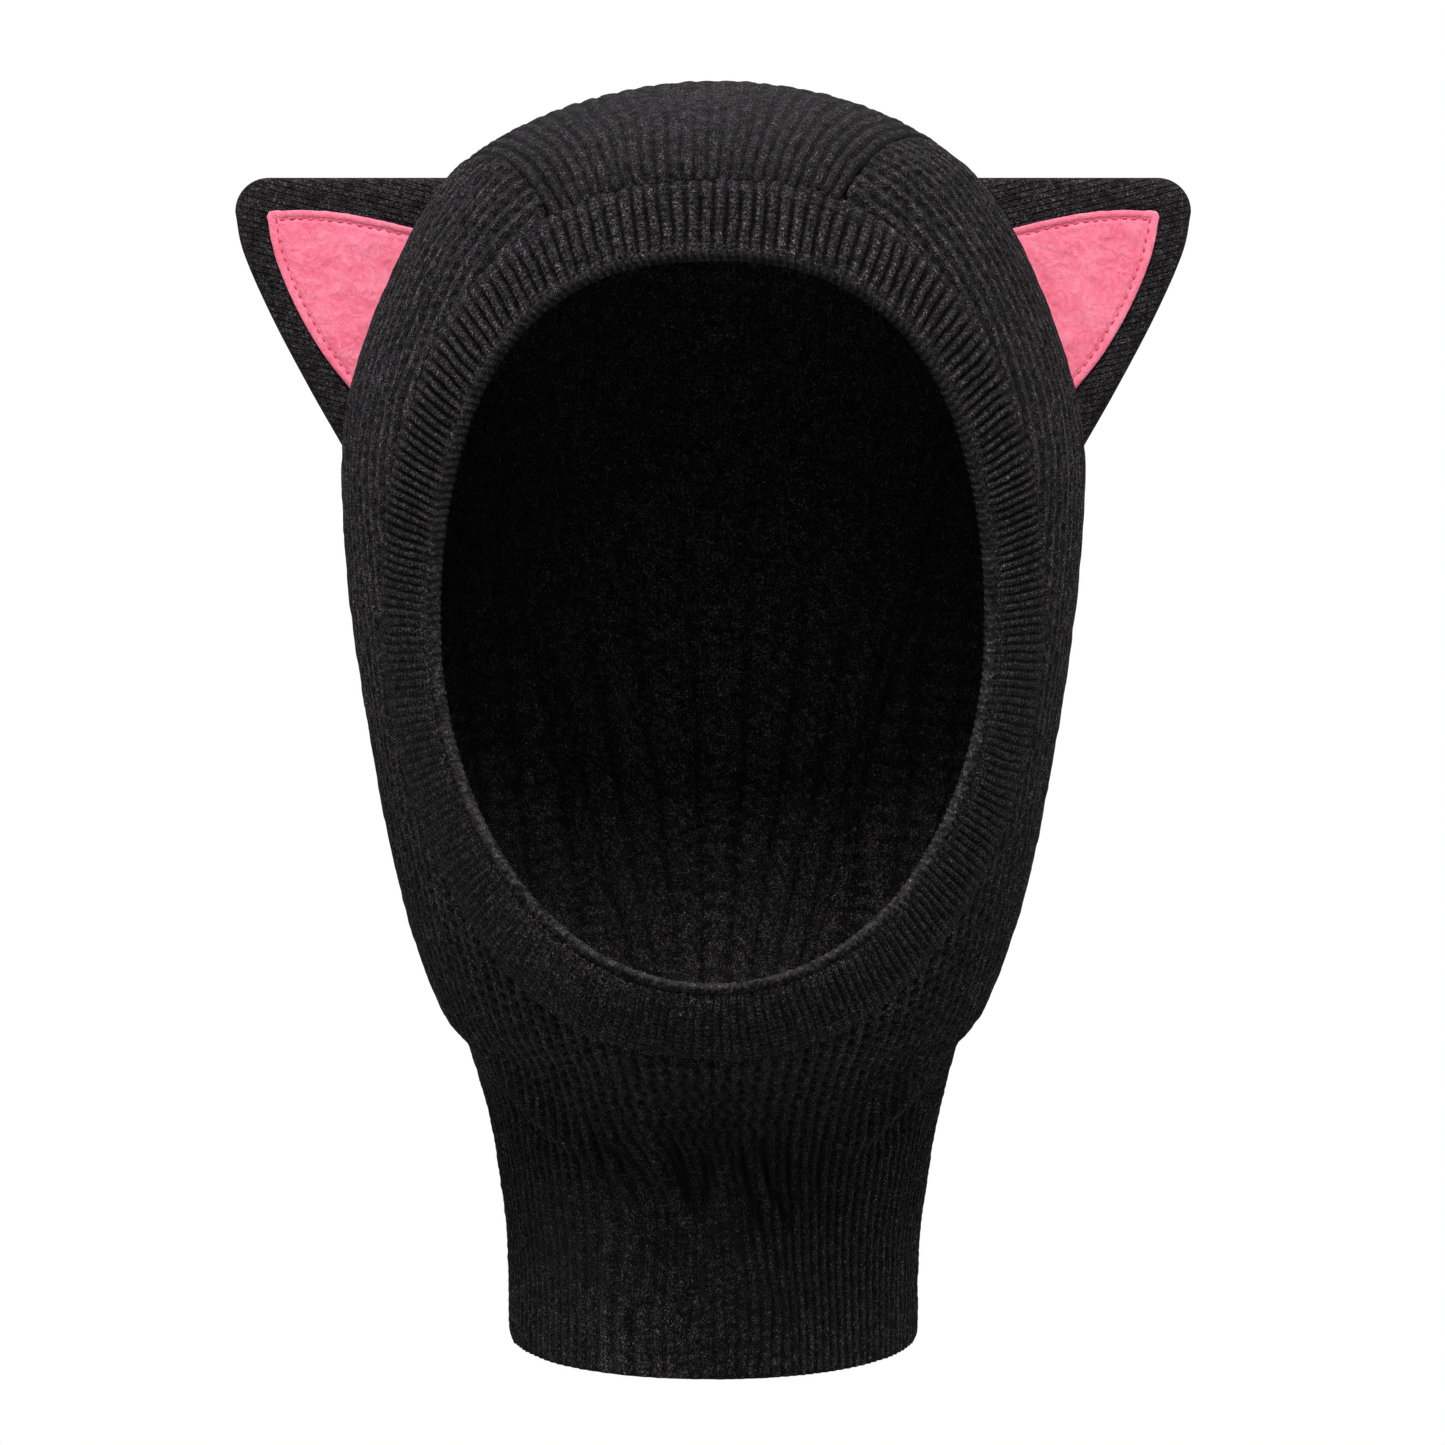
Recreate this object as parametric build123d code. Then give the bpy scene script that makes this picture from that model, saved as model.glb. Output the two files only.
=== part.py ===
from build123d import *
import math
import os

import numpy as np

# Knitted balaclava with two cat ears, worn shape, sized for an adult head.
# Frame: origin at the centre of the neck opening in the plane of the hem, +Z up through
# the crown, -Y is the wearer's front (the face opening), +X is the wearer's left.
# Units are millimetres.

# ---------------------------------------------------------------- driving dimensions
CROWN_Z = 308.5  # hem plane to the outside of the crown
APEX_Y = 1.0  # the crown's highest point
SECTION_Y = 1.0  # depth at which each level is widest
SECTION_P = 2.1  # roundness exponent of each level's outline (2 is an ellipse)
KNIT_T = 3.2  # wall of the hood, neck and band knit
SEAM_R = 1.0  # radius of a linked seam's roll of yarn, on the inside
SEAM_CLEAR = 0.3  # the roll lies this far off the knit's inner face
NECK_Z = 64.5  # level of the seam between neck and hood
EDGE_W = 2.6  # width of the cast-off edge round the face opening

# Half width of the outside at each level: (z, half width)
HALF_WIDTH = [
    (0.0, 50.4), (20.5, 50.8), (30.5, 51.6), (40.5, 53.1), (50.5, 54.7), (60.5, 56.9),
    (66.5, 58.6), (71.0, 61.0), (75.8, 63.9), (80.7, 66.8), (85.7, 69.3), (95.7, 72.9),
    (105.5, 75.9), (125.5, 80.4), (145.5, 84.0), (165.0, 87.0), (184.5, 89.3), (204.3, 90.7),
    (214.1, 91.0), (228.8, 89.6), (242.7, 85.9), (254.5, 81.6), (266.8, 76.2), (277.5, 70.2),
    (287.2, 63.0), (292.1, 56.8), (296.9, 48.9), (301.8, 38.4), (306.6, 21.3), (308.5, 0.0),
]
# Front and back of the outside at each level, measured from SECTION_Y: (z, reach)
FRONT = [
    (0.0, 57.0), (20.5, 55.6), (32.5, 55.3), (42.5, 56.3), (50.5, 58.8), (56.5, 62.3),
    (62.5, 67.5), (68.5, 74.0), (74.5, 81.0), (80.5, 87.5), (87.5, 92.8), (97.5, 96.3),
    (112.5, 98.6), (132.5, 100.0), (152.5, 101.5), (172.5, 103.0), (192.5, 104.0),
    (214.1, 104.0), (228.5, 102.6), (242.5, 100.0), (253.5, 96.8), (266.5, 91.2),
    (277.5, 84.0), (287.2, 75.0), (292.1, 67.5), (296.9, 58.0), (301.8, 45.6), (306.6, 25.4),
    (308.5, 0.0),
]
BACK = [
    (0.0, 55.0), (20.5, 54.2), (38.5, 54.3), (50.5, 55.2), (62.5, 57.2), (74.5, 60.2),
    (87.5, 64.6), (97.5, 68.2), (112.5, 74.8), (132.5, 83.2), (152.5, 90.6), (172.5, 96.4),
    (192.5, 100.2), (214.1, 102.0), (228.5, 101.6), (242.5, 99.8), (253.5, 97.0),
    (266.5, 91.8), (277.5, 85.2), (287.2, 76.6), (292.1, 69.2), (296.9, 59.6), (301.8, 46.9),
    (306.6, 26.2), (308.5, 0.0),
]

# Face opening, an egg shape seen from the front: (half width, height above, height below, powers)
OPEN_Z = 179.5
OPENING = (64.2, 85.4, 79.8, 2.4, 2.0)
BAND_OUTER = (79.0, 104.4, 98.4, 2.3, 2.05)

# Crown seams: the planes x = +-(C0 + CY*y + CZ*z) that bound the centre panel
CROWN_C0, CROWN_CY, CROWN_CZ = -11.7, 0.286, 0.239
CHIN_GUARD_Y, CHIN_GUARD_Z = 0.0, 202.5  # the centre panel never reaches the chin

# Ears, drawn for the wearer's left (+X) and mirrored
EAR_Y = 10.0  # middle plane of the ear
EAR_T = 8.0  # whole thickness
EAR_TIP = (117.6, 285.5)  # corner that the tip's round is cut from
EAR_TIP_R = 8.5
EAR_FOLD = (84.3, 252.5)  # a point on the fold line
EAR_DIR = (0.392, -0.920)  # the fold line's direction
EAR_RELIEF = 20.0  # degrees cut away either side of the fold
EAR_GAP = 0.2
EAR_RIM = 4.0  # width of the sewn rim round the wadding
EAR_SKIN = 2.0  # thickness of each knitted layer
FELT_T = 1.4
STITCH_PITCH, STITCH_L, STITCH_W, STITCH_H = 2.45, 1.7, 0.6, 0.5


def smooth(table, top=CROWN_Z):
    """A monotone cubic through the table, in the square root of the distance below the top,
    so that the crown closes as a round dome."""
    z = np.array([p[0] for p in table], float)
    v = np.array([p[1] for p in table], float)
    w = np.sqrt(np.maximum(top - z, 0.0))[::-1]
    v = v[::-1]
    h = np.diff(w)
    d = np.diff(v) / h
    m = np.zeros(len(w))
    for i in range(1, len(w) - 1):
        if d[i - 1] * d[i] > 0:
            a, b = 2 * h[i] + h[i - 1], h[i] + 2 * h[i - 1]
            m[i] = (a + b) / (a / d[i - 1] + b / d[i])
    m[0], m[-1] = d[0], d[-1]

    def f(zz):
        x = np.sqrt(np.maximum(top - np.asarray(zz, float), 0.0))
        x = np.clip(x, w[0], w[-1])
        i = np.clip(np.searchsorted(w, x) - 1, 0, len(h) - 1)
        t = (x - w[i]) / h[i]
        return (
            v[i] * (2 * t**3 - 3 * t**2 + 1)
            + h[i] * m[i] * (t**3 - 2 * t**2 + t)
            + v[i + 1] * (3 * t**2 - 2 * t**3)
            + h[i] * m[i + 1] * (t**3 - t**2)
        )

    return f


def offset_profile(table, inset):
    """The profile (z, reach) moved inwards by inset along its own normal, as a new table."""
    f = smooth(table)
    ang = np.linspace(0.0, 1.0, 400)
    z = CROWN_Z * (1 - ang**2)
    r = f(z)
    dz, dr = np.gradient(z), np.gradient(r)
    n = np.hypot(dz, dr)
    # the outward normal of a profile that runs from the crown down
    nz, nr = dr / n, -dz / n
    z2, r2 = z - inset * nz, r - inset * nr
    z2[0], r2[0] = CROWN_Z - inset, 0.0
    order = np.argsort(z2)
    return z2[order], np.maximum(r2[order], 0.0)


def body_solid(inset):
    """The whole outside of the hood and neck, moved inwards by inset, as one closed solid."""
    top = CROWN_Z - inset
    if inset:
        profiles = []
        for table in (HALF_WIDTH, FRONT, BACK):
            z, r = offset_profile(table, inset)
            profiles.append(lambda zz, z=z, r=r: np.interp(zz, z, r))
        fa, ff, fb = profiles
        low = -6.0
    else:
        fa, ff, fb = smooth(HALF_WIDTH), smooth(FRONT), smooth(BACK)
        low = 0.0
    levels = [0.0, 18.0, 34.0, 46.0, 56.5, 64.5, 71.5, 78.5, 86.5, 98.5, 116.5, 142.5,
              172.5, 202.5, 224.5, 245.5, 262.5, 276.5, 287.0, 295.0, 301.0, 305.7, 307.9]
    levels = [z if z < 214.5 else 214.5 + (z - 214.5) * (top - 214.5) / (CROWN_Z - 214.5) for z in levels]
    if low < 0:
        levels = [low] + levels
    wires = []
    for z in levels:
        a, f, b = (float(g(max(z, 0.0))) for g in (fa, ff, fb))
        pts = []
        n = 20
        for i in range(n):
            t = 2 * math.pi * i / n
            c, s = math.cos(t), math.sin(t)
            x = a * math.copysign(abs(c) ** (2 / SECTION_P), c)
            y = (b if s > 0 else f) * math.copysign(abs(s) ** (2 / SECTION_P), s)
            pts.append((x, SECTION_Y + y, z))
        wires.append(Wire([Edge.make_spline(pts, periodic=True)]))
    return Solid.make_loft(wires + [Vertex(0, APEX_Y, top)])


class Level:
    """The levels of the body moved inwards by inset, as half width, front and back reach."""

    def __init__(self, inset):
        self.tables = [offset_profile(t, inset) for t in (HALF_WIDTH, FRONT, BACK)]

    def at(self, z):
        return [float(np.interp(z, *t)) for t in self.tables]

    def outside(self, x, y, z):
        """Below zero inside the body, above zero outside it."""
        a, f, b = self.at(z)
        r = f if y < SECTION_Y else b
        if min(a, r) < 0.5:
            return 1.0
        return (abs(x) / a) ** SECTION_P + (abs(y - SECTION_Y) / r) ** SECTION_P - 1.0

    def front(self, x, z):
        """The depth of the front surface at x, z."""
        a, f, _ = self.at(z)
        return SECTION_Y - f * max(1.0 - (abs(x) / a) ** SECTION_P, 0.0) ** (1 / SECTION_P)

    def on_seam(self, phi, sign):
        """Where the crown seam's plane meets the surface, along a ray from inside the head at
        the angle phi, counted from straight ahead over the crown."""
        low, high = 5.0, 200.0
        for _ in range(50):
            r = (low + high) / 2
            y, z = SECTION_Y - r * math.cos(phi), 202.5 + r * math.sin(phi)
            x = sign * (CROWN_C0 + CROWN_CY * y + CROWN_CZ * z)
            if z > CROWN_Z or self.outside(x, y, z) > 0:
                high = r
            else:
                low = r
        return y, z


def inside_polygon(x, z, poly):
    inside = False
    for (x0, z0), (x1, z1) in zip(poly, np.roll(poly, -1, 0)):
        if (z0 > z) != (z1 > z) and x < x0 + (z - z0) / (z1 - z0) * (x1 - x0):
            inside = not inside
    return inside


def roll(points):
    """A round roll of yarn along a line of points."""
    path = Edge.make_spline([Vector(*p) for p in points])
    plane = Plane(origin=path @ 0, z_dir=path % 0)
    return Solid.sweep(Face(Wire.make_circle(SEAM_R, plane)), path)


def egg(shape, grow=0.0, n=72):
    """Points of the egg-shaped outline in the front plane, as (x, z)."""
    a, up, dn, pu, pd = shape
    out = []
    for i in range(n):
        t = 2 * math.pi * i / n
        c, s = math.cos(t), math.sin(t)
        p = pu if s > 0 else pd
        h = up if s > 0 else dn
        # the power changes smoothly across the widest level
        k = 0.5 - 0.5 * math.cos(math.pi * min(1.0, abs(s) * 1.2))
        p = 2.0 + (p - 2.0) * k + (0.15 if s > 0 else 0.0) * (1 - k)
        x = a * math.copysign(abs(c) ** (2 / p), c)
        z = h * math.copysign(abs(s) ** (2 / p), s)
        out.append((x, z))
    if grow:
        pts = np.array(out)
        d = np.roll(pts, -1, 0) - np.roll(pts, 1, 0)
        nrm = np.stack([d[:, 1], -d[:, 0]], 1)
        nrm /= np.linalg.norm(nrm, axis=1)[:, None]
        out = [tuple(p) for p in pts + grow * nrm]
    return out


def egg_prism(shape, grow=0.0):
    """A prism along Y through the front wall only, with the egg-shaped outline."""
    pts = [(x, -150.0, OPEN_Z + z) for x, z in egg(shape, grow)]
    face = Face(Wire([Edge.make_spline(pts, periodic=True)]))
    return Solid.extrude(face, Vector(0, 150.0, 0))


def slab(centre, size):
    return Pos(*centre) * Box(*size)


def half_space(normal, offset, size=800.0):
    """The solid block where normal . p < offset."""
    n = Vector(*normal).normalized()
    scale = Vector(*normal).length
    plane = Plane(origin=n * (offset / scale), z_dir=n)
    return plane * (Pos(0, 0, -size / 2) * Box(size, size, size))


def one(shape):
    """The largest solid of a result, with splinters dropped."""
    solids = sorted(shape.solids(), key=lambda s: s.volume)
    return solids[-1]


def save(name, shape):
    solids = [s for s in shape.solids() if s.volume > 0.05]
    for s in solids:
        if not s.is_valid:
            print("INVALID", name)
    out = solids[0] if len(solids) == 1 else Compound(solids)
    export_step(out, f"parts/{name}.step")
    print(name, len(solids), round(sum(s.volume for s in solids)))


def main():
    os.makedirs("parts", exist_ok=True)
    outer = body_solid(0.0)
    inner = body_solid(KNIT_T)
    shell = outer - inner

    hole = egg_prism(OPENING)
    edge_line = egg_prism(OPENING, EDGE_W)
    band_line = egg_prism(BAND_OUTER)

    # ------------------------------------------------------------ face band and its edge
    front_ring = shell & band_line
    face_band = front_ring - edge_line
    face_band_edge = (front_ring & edge_line) - hole
    save("face_band", one(face_band))
    save("face_band_edge", one(face_band_edge))

    # ------------------------------------------------------------ hood and neck panels
    rest = shell - band_line
    neck_block = slab((0, 0, NECK_Z / 2 - 50), (400, 400, NECK_Z + 100))
    neck = rest & neck_block
    hood = rest - neck_block
    front_block = slab((0, SECTION_Y - 200, 0), (400, 400, 400))
    save("neck_front_panel", one(neck & front_block))
    save("neck_back_panel", one(neck - front_block))

    # centre panel: between the two crown planes, never below the guard at the front
    guard = slab((0, CHIN_GUARD_Y - 200, CHIN_GUARD_Z - 300), (400, 400, 600))
    left_plane = half_space((1, -CROWN_CY, -CROWN_CZ), CROWN_C0)
    right_plane = half_space((-1, -CROWN_CY, -CROWN_CZ), CROWN_C0)
    strip = (left_plane & right_plane) - guard
    save("hood_center_panel", one(hood & strip))
    sides = hood - strip
    right_block = slab((-200, 0, 200), (400, 600, 800))
    save("hood_right_panel", one(sides & right_block))
    save("hood_left_panel", one(sides - right_block))

    # ------------------------------------------------------------ linked seams, on the inside
    deep = KNIT_T + SEAM_CLEAR + SEAM_R
    level = Level(deep)
    grown = np.array(egg(BAND_OUTER, 3.6, 240))
    for name, sign in (("left", 1), ("right", -1)):
        path = []
        for i in range(70):
            phi = math.radians(-20 + 4 * i)  # from the forehead over the crown and down the back
            y, z = level.on_seam(phi, sign)
            front = y < SECTION_Y
            x = sign * (CROWN_C0 + CROWN_CY * y + CROWN_CZ * z)
            if front and inside_polygon(x, z - OPEN_Z, grown):
                continue
            if z < NECK_Z + 3.4:
                break
            if not front or z > 182.5:
                path.append((x, y, z))
        save("crown_seam_" + name, roll(path))
        save("neck_side_seam_" + name, roll([(sign * level.at(z)[0], SECTION_Y, z) for z in np.linspace(2.0, NECK_Z - 3.2, 8)]))
    halves = []
    for sign in (1, -1):
        ring = [(sign * x, z + OPEN_Z) for x, z in egg(BAND_OUTER, 0.0, 120)]
        ring = [q for q in ring if sign * q[0] > 0.5]
        ring.sort(key=lambda q: math.atan2(q[1] - OPEN_Z, abs(q[0])))
        ends = [(sign * 0.02, OPEN_Z - BAND_OUTER[2]), (sign * 0.02, OPEN_Z + BAND_OUTER[1])]
        ring = [ends[0]] + ring[1:-1:3] + [ends[1]]
        halves += roll([(x, level.front(x, z), z) for x, z in ring]).solids()
    save("face_band_seam", Compound(halves))
    halves = []
    for sign in (1, -1):
        a, f, b = level.at(NECK_Z)
        path = []
        for i in range(13):
            t = -math.pi / 2 + math.pi * i / 12
            c, sn = max(math.cos(t), 0.0), math.sin(t)
            x = a * c ** (2 / SECTION_P)
            y = (b if sn > 0 else f) * math.copysign(abs(sn) ** (2 / SECTION_P), sn)
            path.append((sign * max(x, 0.02), SECTION_Y + y, NECK_Z))
        halves += roll(path).solids()
    save("neck_seam", Compound(halves))
    save("chin_seam", roll([(0, level.front(0, z), z) for z in np.linspace(NECK_Z + 3.2, OPEN_Z - BAND_OUTER[2] - 3.2, 5)]))

    # ------------------------------------------------------------ ears
    dx, dz = EAR_DIR
    length = math.hypot(dx, dz)
    dx, dz = dx / length, dz / length
    nx, nz = -dz, dx  # outward, in the ear's plane
    fx, fz = EAR_FOLD

    def along(s, t, y=EAR_Y):
        """A point s along the fold line and t outward from it."""
        return Vector(fx + s * dx + t * nx, y, fz + s * dz + t * nz)

    def outline(inset=0.0):
        """The ear's outline, or one parallel inside it: straight top, rounded tip, lightly
        bowed outer edge, and a base line well inside the hood."""
        ex, ez = EAR_TIP
        side = Edge.make_spline(
            [(ex - 0.2, 0, ez - EAR_TIP_R), (115.4, 0, 267.1), (108.6, 0, 251.4),
             (99.2, 0, 233.4), (88.6, 0, 214.9)])
        if inset:
            pts = []
            for u in (0.0, 0.25, 0.5, 0.75, 1.0):
                q, t = side @ u, side % u
                pts.append((q.X + inset * t.Z, 0, q.Z - inset * t.X))
            side = Edge.make_spline(pts)
        first, last = side @ 0, side @ 1
        top_in = (52.0, 0, ez - inset)
        turn = (ex - EAR_TIP_R, 0, ez - inset)
        return Wire([
            Edge.make_line((last.X, 0, last.Z), top_in),
            Edge.make_line(top_in, turn),
            Edge.make_tangent_arc(turn, (1, 0, 0), (first.X, 0, first.Z)),
            side,
        ])

    def prism(wire, y0, y1):
        face = Face(wire)
        solid = Solid.extrude(face, Vector(0, y1 - y0, 0))
        return Pos(0, y0, 0) * solid

    relief = math.tan(math.radians(EAR_RELIEF))

    def wedge(moving, gap):
        """The block on one side of the fold line, cut back either side of the fold."""
        h = 30.0
        if moving:
            flat = [(gap, 0), (gap + h * relief, h), (120, h), (120, -h), (gap + h * relief, -h)]
        else:
            flat = [(-gap, 0), (-gap - h * relief, h), (-120, h), (-120, -h), (-gap - h * relief, -h)]
        pts = [along(-100, t, EAR_Y + y) for t, y in flat]
        face = Face(Wire.make_polygon(pts, close=True))
        return Solid.extrude(face, Vector(dx, 0, dz) * 200)

    half = EAR_T / 2
    whole = outline()
    moving = wedge(True, EAR_GAP)
    pocket_moving = wedge(True, EAR_RIM - 1.0)
    inner_wire = outline(EAR_RIM)
    wad_wire = outline(EAR_RIM + 0.2)
    front = prism(whole, EAR_Y - half, EAR_Y) & moving
    back = prism(whole, EAR_Y, EAR_Y + half) & moving
    pocket = prism(inner_wire, EAR_Y - half + EAR_SKIN, EAR_Y + half - EAR_SKIN) & pocket_moving
    wad = prism(wad_wire, EAR_Y - half + EAR_SKIN + 0.05, EAR_Y + half - EAR_SKIN - 0.05) & wedge(True, EAR_RIM - 0.8)
    ear = {
        "ear_front": one(front - pocket),
        "ear_back": one(back - pocket),
        "ear_wadding": one(wad),
    }

    # felt patch: three lightly bowed sides
    f_out, f_low, f_in = (108.6, 276.4), (88.4, 233.9), (70.0, 273.1)
    y0 = EAR_Y - half - FELT_T
    felt_edges = [
        Edge.make_spline([(f_in[0], 0, f_in[1]), (80.5, 0, 275.7), (94.0, 0, 277.4), (f_out[0] - 1.5, 0, f_out[1] + 0.3)]),
        Edge.make_spline([(f_out[0] - 1.5, 0, f_out[1] + 0.3), (f_out[0] - 0.2, 0, f_out[1] - 0.4), (f_out[0], 0, f_out[1] - 2.2)]),
        Edge.make_spline([(f_out[0], 0, f_out[1] - 2.2), (105.6, 0, 262.9), (99.6, 0, 249.7), (f_low[0], 0, f_low[1])]),
        Edge.make_line((f_low[0], 0, f_low[1]), (f_in[0], 0, f_in[1])),
    ]
    felt_wire = Wire(felt_edges)
    felt_block = wedge(True, 3.4 - (half + 0.0) * relief)
    felt = prism(felt_wire, y0, EAR_Y - half) & felt_block
    ear["ear_felt"] = one(felt)

    # top stitching: separate short stitches, 2.2 mm inside the felt's sewn edges
    stitches = []
    run = [felt_edges[0], felt_edges[2]]
    for edge in run:
        n = int(edge.length / STITCH_PITCH)
        for i in range(n):
            u = (i + 0.5) / n
            p, t = edge @ u, edge % u
            side_v = Vector(-t.Z, 0, t.X)
            mid = Vector(94.0, 0, 260.5) - Vector(p.X, 0, p.Z)
            if side_v.dot(mid) < 0:
                side_v = side_v * -1
            c = Vector(p.X, 0, p.Z) + side_v * 2.2
            d = (c.X - fx) * nx + (c.Z - fz) * nz
            if d < 5.4:
                continue
            box = Plane(origin=Vector(c.X, y0 - STITCH_H / 2, c.Z), x_dir=Vector(t.X, 0, t.Z), z_dir=Vector(0, -1, 0)) * Box(STITCH_L, STITCH_W, STITCH_H)
            inside = prism(felt_wire, -1, 1)
            if inside.is_inside(Vector(c.X, 0, c.Z)):
                stitches.append(box.solid())
    ear["ear_stitching"] = Compound(stitches)

    # the ear's base: the sewn allowance between the hood and the fold line
    base = (prism(whole, EAR_Y - half + 1.0, EAR_Y + half - 1.0) & wedge(False, EAR_GAP)) - outer
    base = base & slab((90, EAR_Y, 250.5), (90, 30, 80))
    bases = [s for s in base.solids() if s.center().X > 60 and s.volume > 1.0]
    ear["ear_base"] = Compound(bases) if len(bases) > 1 else bases[0]
    for name, shape in ear.items():
        save("left_" + name, shape)
        save("right_" + name, shape.mirror(Plane.YZ))


main()
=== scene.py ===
import bpy
import math
import numpy as np
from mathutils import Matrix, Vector
from mathutils.geometry import delaunay_2d_cdt


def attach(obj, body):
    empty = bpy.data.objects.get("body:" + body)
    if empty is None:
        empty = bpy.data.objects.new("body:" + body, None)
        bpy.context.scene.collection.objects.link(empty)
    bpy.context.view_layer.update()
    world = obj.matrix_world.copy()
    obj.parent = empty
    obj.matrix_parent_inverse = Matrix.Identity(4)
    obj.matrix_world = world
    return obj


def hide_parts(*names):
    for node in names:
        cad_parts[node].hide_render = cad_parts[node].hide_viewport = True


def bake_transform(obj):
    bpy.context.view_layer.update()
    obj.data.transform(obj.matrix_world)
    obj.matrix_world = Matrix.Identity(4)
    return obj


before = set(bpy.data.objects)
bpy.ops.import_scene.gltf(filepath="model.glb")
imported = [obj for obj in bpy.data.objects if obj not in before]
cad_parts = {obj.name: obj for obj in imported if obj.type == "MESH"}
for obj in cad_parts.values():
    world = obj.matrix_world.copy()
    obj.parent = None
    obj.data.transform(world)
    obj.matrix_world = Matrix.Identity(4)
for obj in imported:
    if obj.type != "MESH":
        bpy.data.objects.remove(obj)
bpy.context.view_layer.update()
RNG = np.random.RandomState(7)

# ------------------------------------------------------------------ the worn surface, in mm
CROWN_Z, APEX_Y, SY, P = 308.5, 1.0, 1.0, 2.1
HALF_WIDTH = [
    (0.0, 50.4), (20.5, 50.8), (30.5, 51.6), (40.5, 53.1), (50.5, 54.7), (60.5, 56.9),
    (66.5, 58.6), (71.0, 61.0), (75.8, 63.9), (80.7, 66.8), (85.7, 69.3), (95.7, 72.9),
    (105.5, 75.9), (125.5, 80.4), (145.5, 84.0), (165.0, 87.0), (184.5, 89.3), (204.3, 90.7),
    (214.1, 91.0), (228.8, 89.6), (242.7, 85.9), (254.5, 81.6), (266.8, 76.2), (277.5, 70.2),
    (287.2, 63.0), (292.1, 56.8), (296.9, 48.9), (301.8, 38.4), (306.6, 21.3), (308.5, 0.0),
]
FRONT = [
    (0.0, 57.0), (20.5, 55.6), (32.5, 55.3), (42.5, 56.3), (50.5, 58.8), (56.5, 62.3),
    (62.5, 67.5), (68.5, 74.0), (74.5, 81.0), (80.5, 87.5), (87.5, 92.8), (97.5, 96.3),
    (112.5, 98.6), (132.5, 100.0), (152.5, 101.5), (172.5, 103.0), (192.5, 104.0),
    (214.1, 104.0), (228.5, 102.6), (242.5, 100.0), (253.5, 96.8), (266.5, 91.2),
    (277.5, 84.0), (287.2, 75.0), (292.1, 67.5), (296.9, 58.0), (301.8, 45.6), (306.6, 25.4),
    (308.5, 0.0),
]
BACK = [
    (0.0, 55.0), (20.5, 54.2), (38.5, 54.3), (50.5, 55.2), (62.5, 57.2), (74.5, 60.2),
    (87.5, 64.6), (97.5, 68.2), (112.5, 74.8), (132.5, 83.2), (152.5, 90.6), (172.5, 96.4),
    (192.5, 100.2), (214.1, 102.0), (228.5, 101.6), (242.5, 99.8), (253.5, 97.0),
    (266.5, 91.8), (277.5, 85.2), (287.2, 76.6), (292.1, 69.2), (296.9, 59.6), (301.8, 46.9),
    (306.6, 26.2), (308.5, 0.0),
]
OPEN_Z = 179.5
OPENING = (64.2, 85.4, 79.8, 2.4, 2.0)
BAND_OUTER = (79.0, 104.4, 98.4, 2.3, 2.05)
C0, CY, CZ = -11.7, 0.286, 0.239
NECK_Z = 64.5
KNIT_T = 3.2
EAR_Y, EAR_T = 10.0, 8.0


def smooth_table(table, top=CROWN_Z):
    z = np.array([p[0] for p in table], float)
    v = np.array([p[1] for p in table], float)
    w = np.sqrt(np.maximum(top - z, 0.0))[::-1]
    v = v[::-1]
    h = np.diff(w)
    d = np.diff(v) / h
    m = np.zeros(len(w))
    for i in range(1, len(w) - 1):
        if d[i - 1] * d[i] > 0:
            a, b = 2 * h[i] + h[i - 1], h[i] + 2 * h[i - 1]
            m[i] = (a + b) / (a / d[i - 1] + b / d[i])
    m[0], m[-1] = d[0], d[-1]
    x = np.linspace(w[0], w[-1], 3000)
    i = np.clip(np.searchsorted(w, x) - 1, 0, len(h) - 1)
    t = (x - w[i]) / h[i]
    y = (v[i] * (2 * t**3 - 3 * t**2 + 1) + h[i] * m[i] * (t**3 - 2 * t**2 + t)
         + v[i + 1] * (3 * t**2 - 2 * t**3) + h[i] * m[i + 1] * (t**3 - t**2))
    return lambda zz: np.interp(np.sqrt(np.maximum(top - np.asarray(zz, float), 0.0)), x, y)


fa, ff, fb = smooth_table(HALF_WIDTH), smooth_table(FRONT), smooth_table(BACK)


def implicit(p):
    """Below 0 inside the worn surface, above 0 outside; p is (..., 3) in mm."""
    x, y, z = p[..., 0], p[..., 1], p[..., 2]
    a = np.maximum(fa(z), 0.05)
    r = np.maximum(np.where(y < SY, ff(z), fb(z)), 0.05)
    q = ((np.abs(x) / a) ** P + (np.abs(y - SY) / r) ** P) ** (1 / P) - 1
    return np.where(z > CROWN_Z, 1.0, q)


def cast(origin, d):
    """Where rays from a point inside the head leave the surface."""
    d = d / np.linalg.norm(d, axis=-1, keepdims=True)
    lo = np.full(d.shape[:-1], 2.0)
    hi = np.full(d.shape[:-1], 260.0)
    for _ in range(40):
        mid = (lo + hi) / 2
        out = implicit(origin + d * mid[..., None]) > 0
        hi = np.where(out, mid, hi)
        lo = np.where(out, lo, mid)
    return origin + d * lo[..., None]


def front_y(x, z):
    return SY - ff(z) * np.maximum(1 - (np.abs(x) / np.maximum(fa(z), 0.05)) ** P, 0) ** (1 / P)


def gradient(p, eps=0.6):
    g = np.zeros_like(p)
    for k in range(3):
        e = np.zeros(3)
        e[k] = eps
        g[..., k] = implicit(p + e) - implicit(p - e)
    # near the very top the level lines close up, so the normal leans to straight up
    g /= np.linalg.norm(g, axis=-1, keepdims=True) + 1e-12
    return g


def grid_normals(p, flip=1.0, wrap=False):
    du = np.gradient(p, axis=0)
    if wrap:
        dv = (np.roll(p, -1, 1) - np.roll(p, 1, 1)) / 2
    else:
        dv = np.gradient(p, axis=1)
    n = np.cross(du, dv) * flip
    return n / (np.linalg.norm(n, axis=-1, keepdims=True) + 1e-12)


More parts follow.
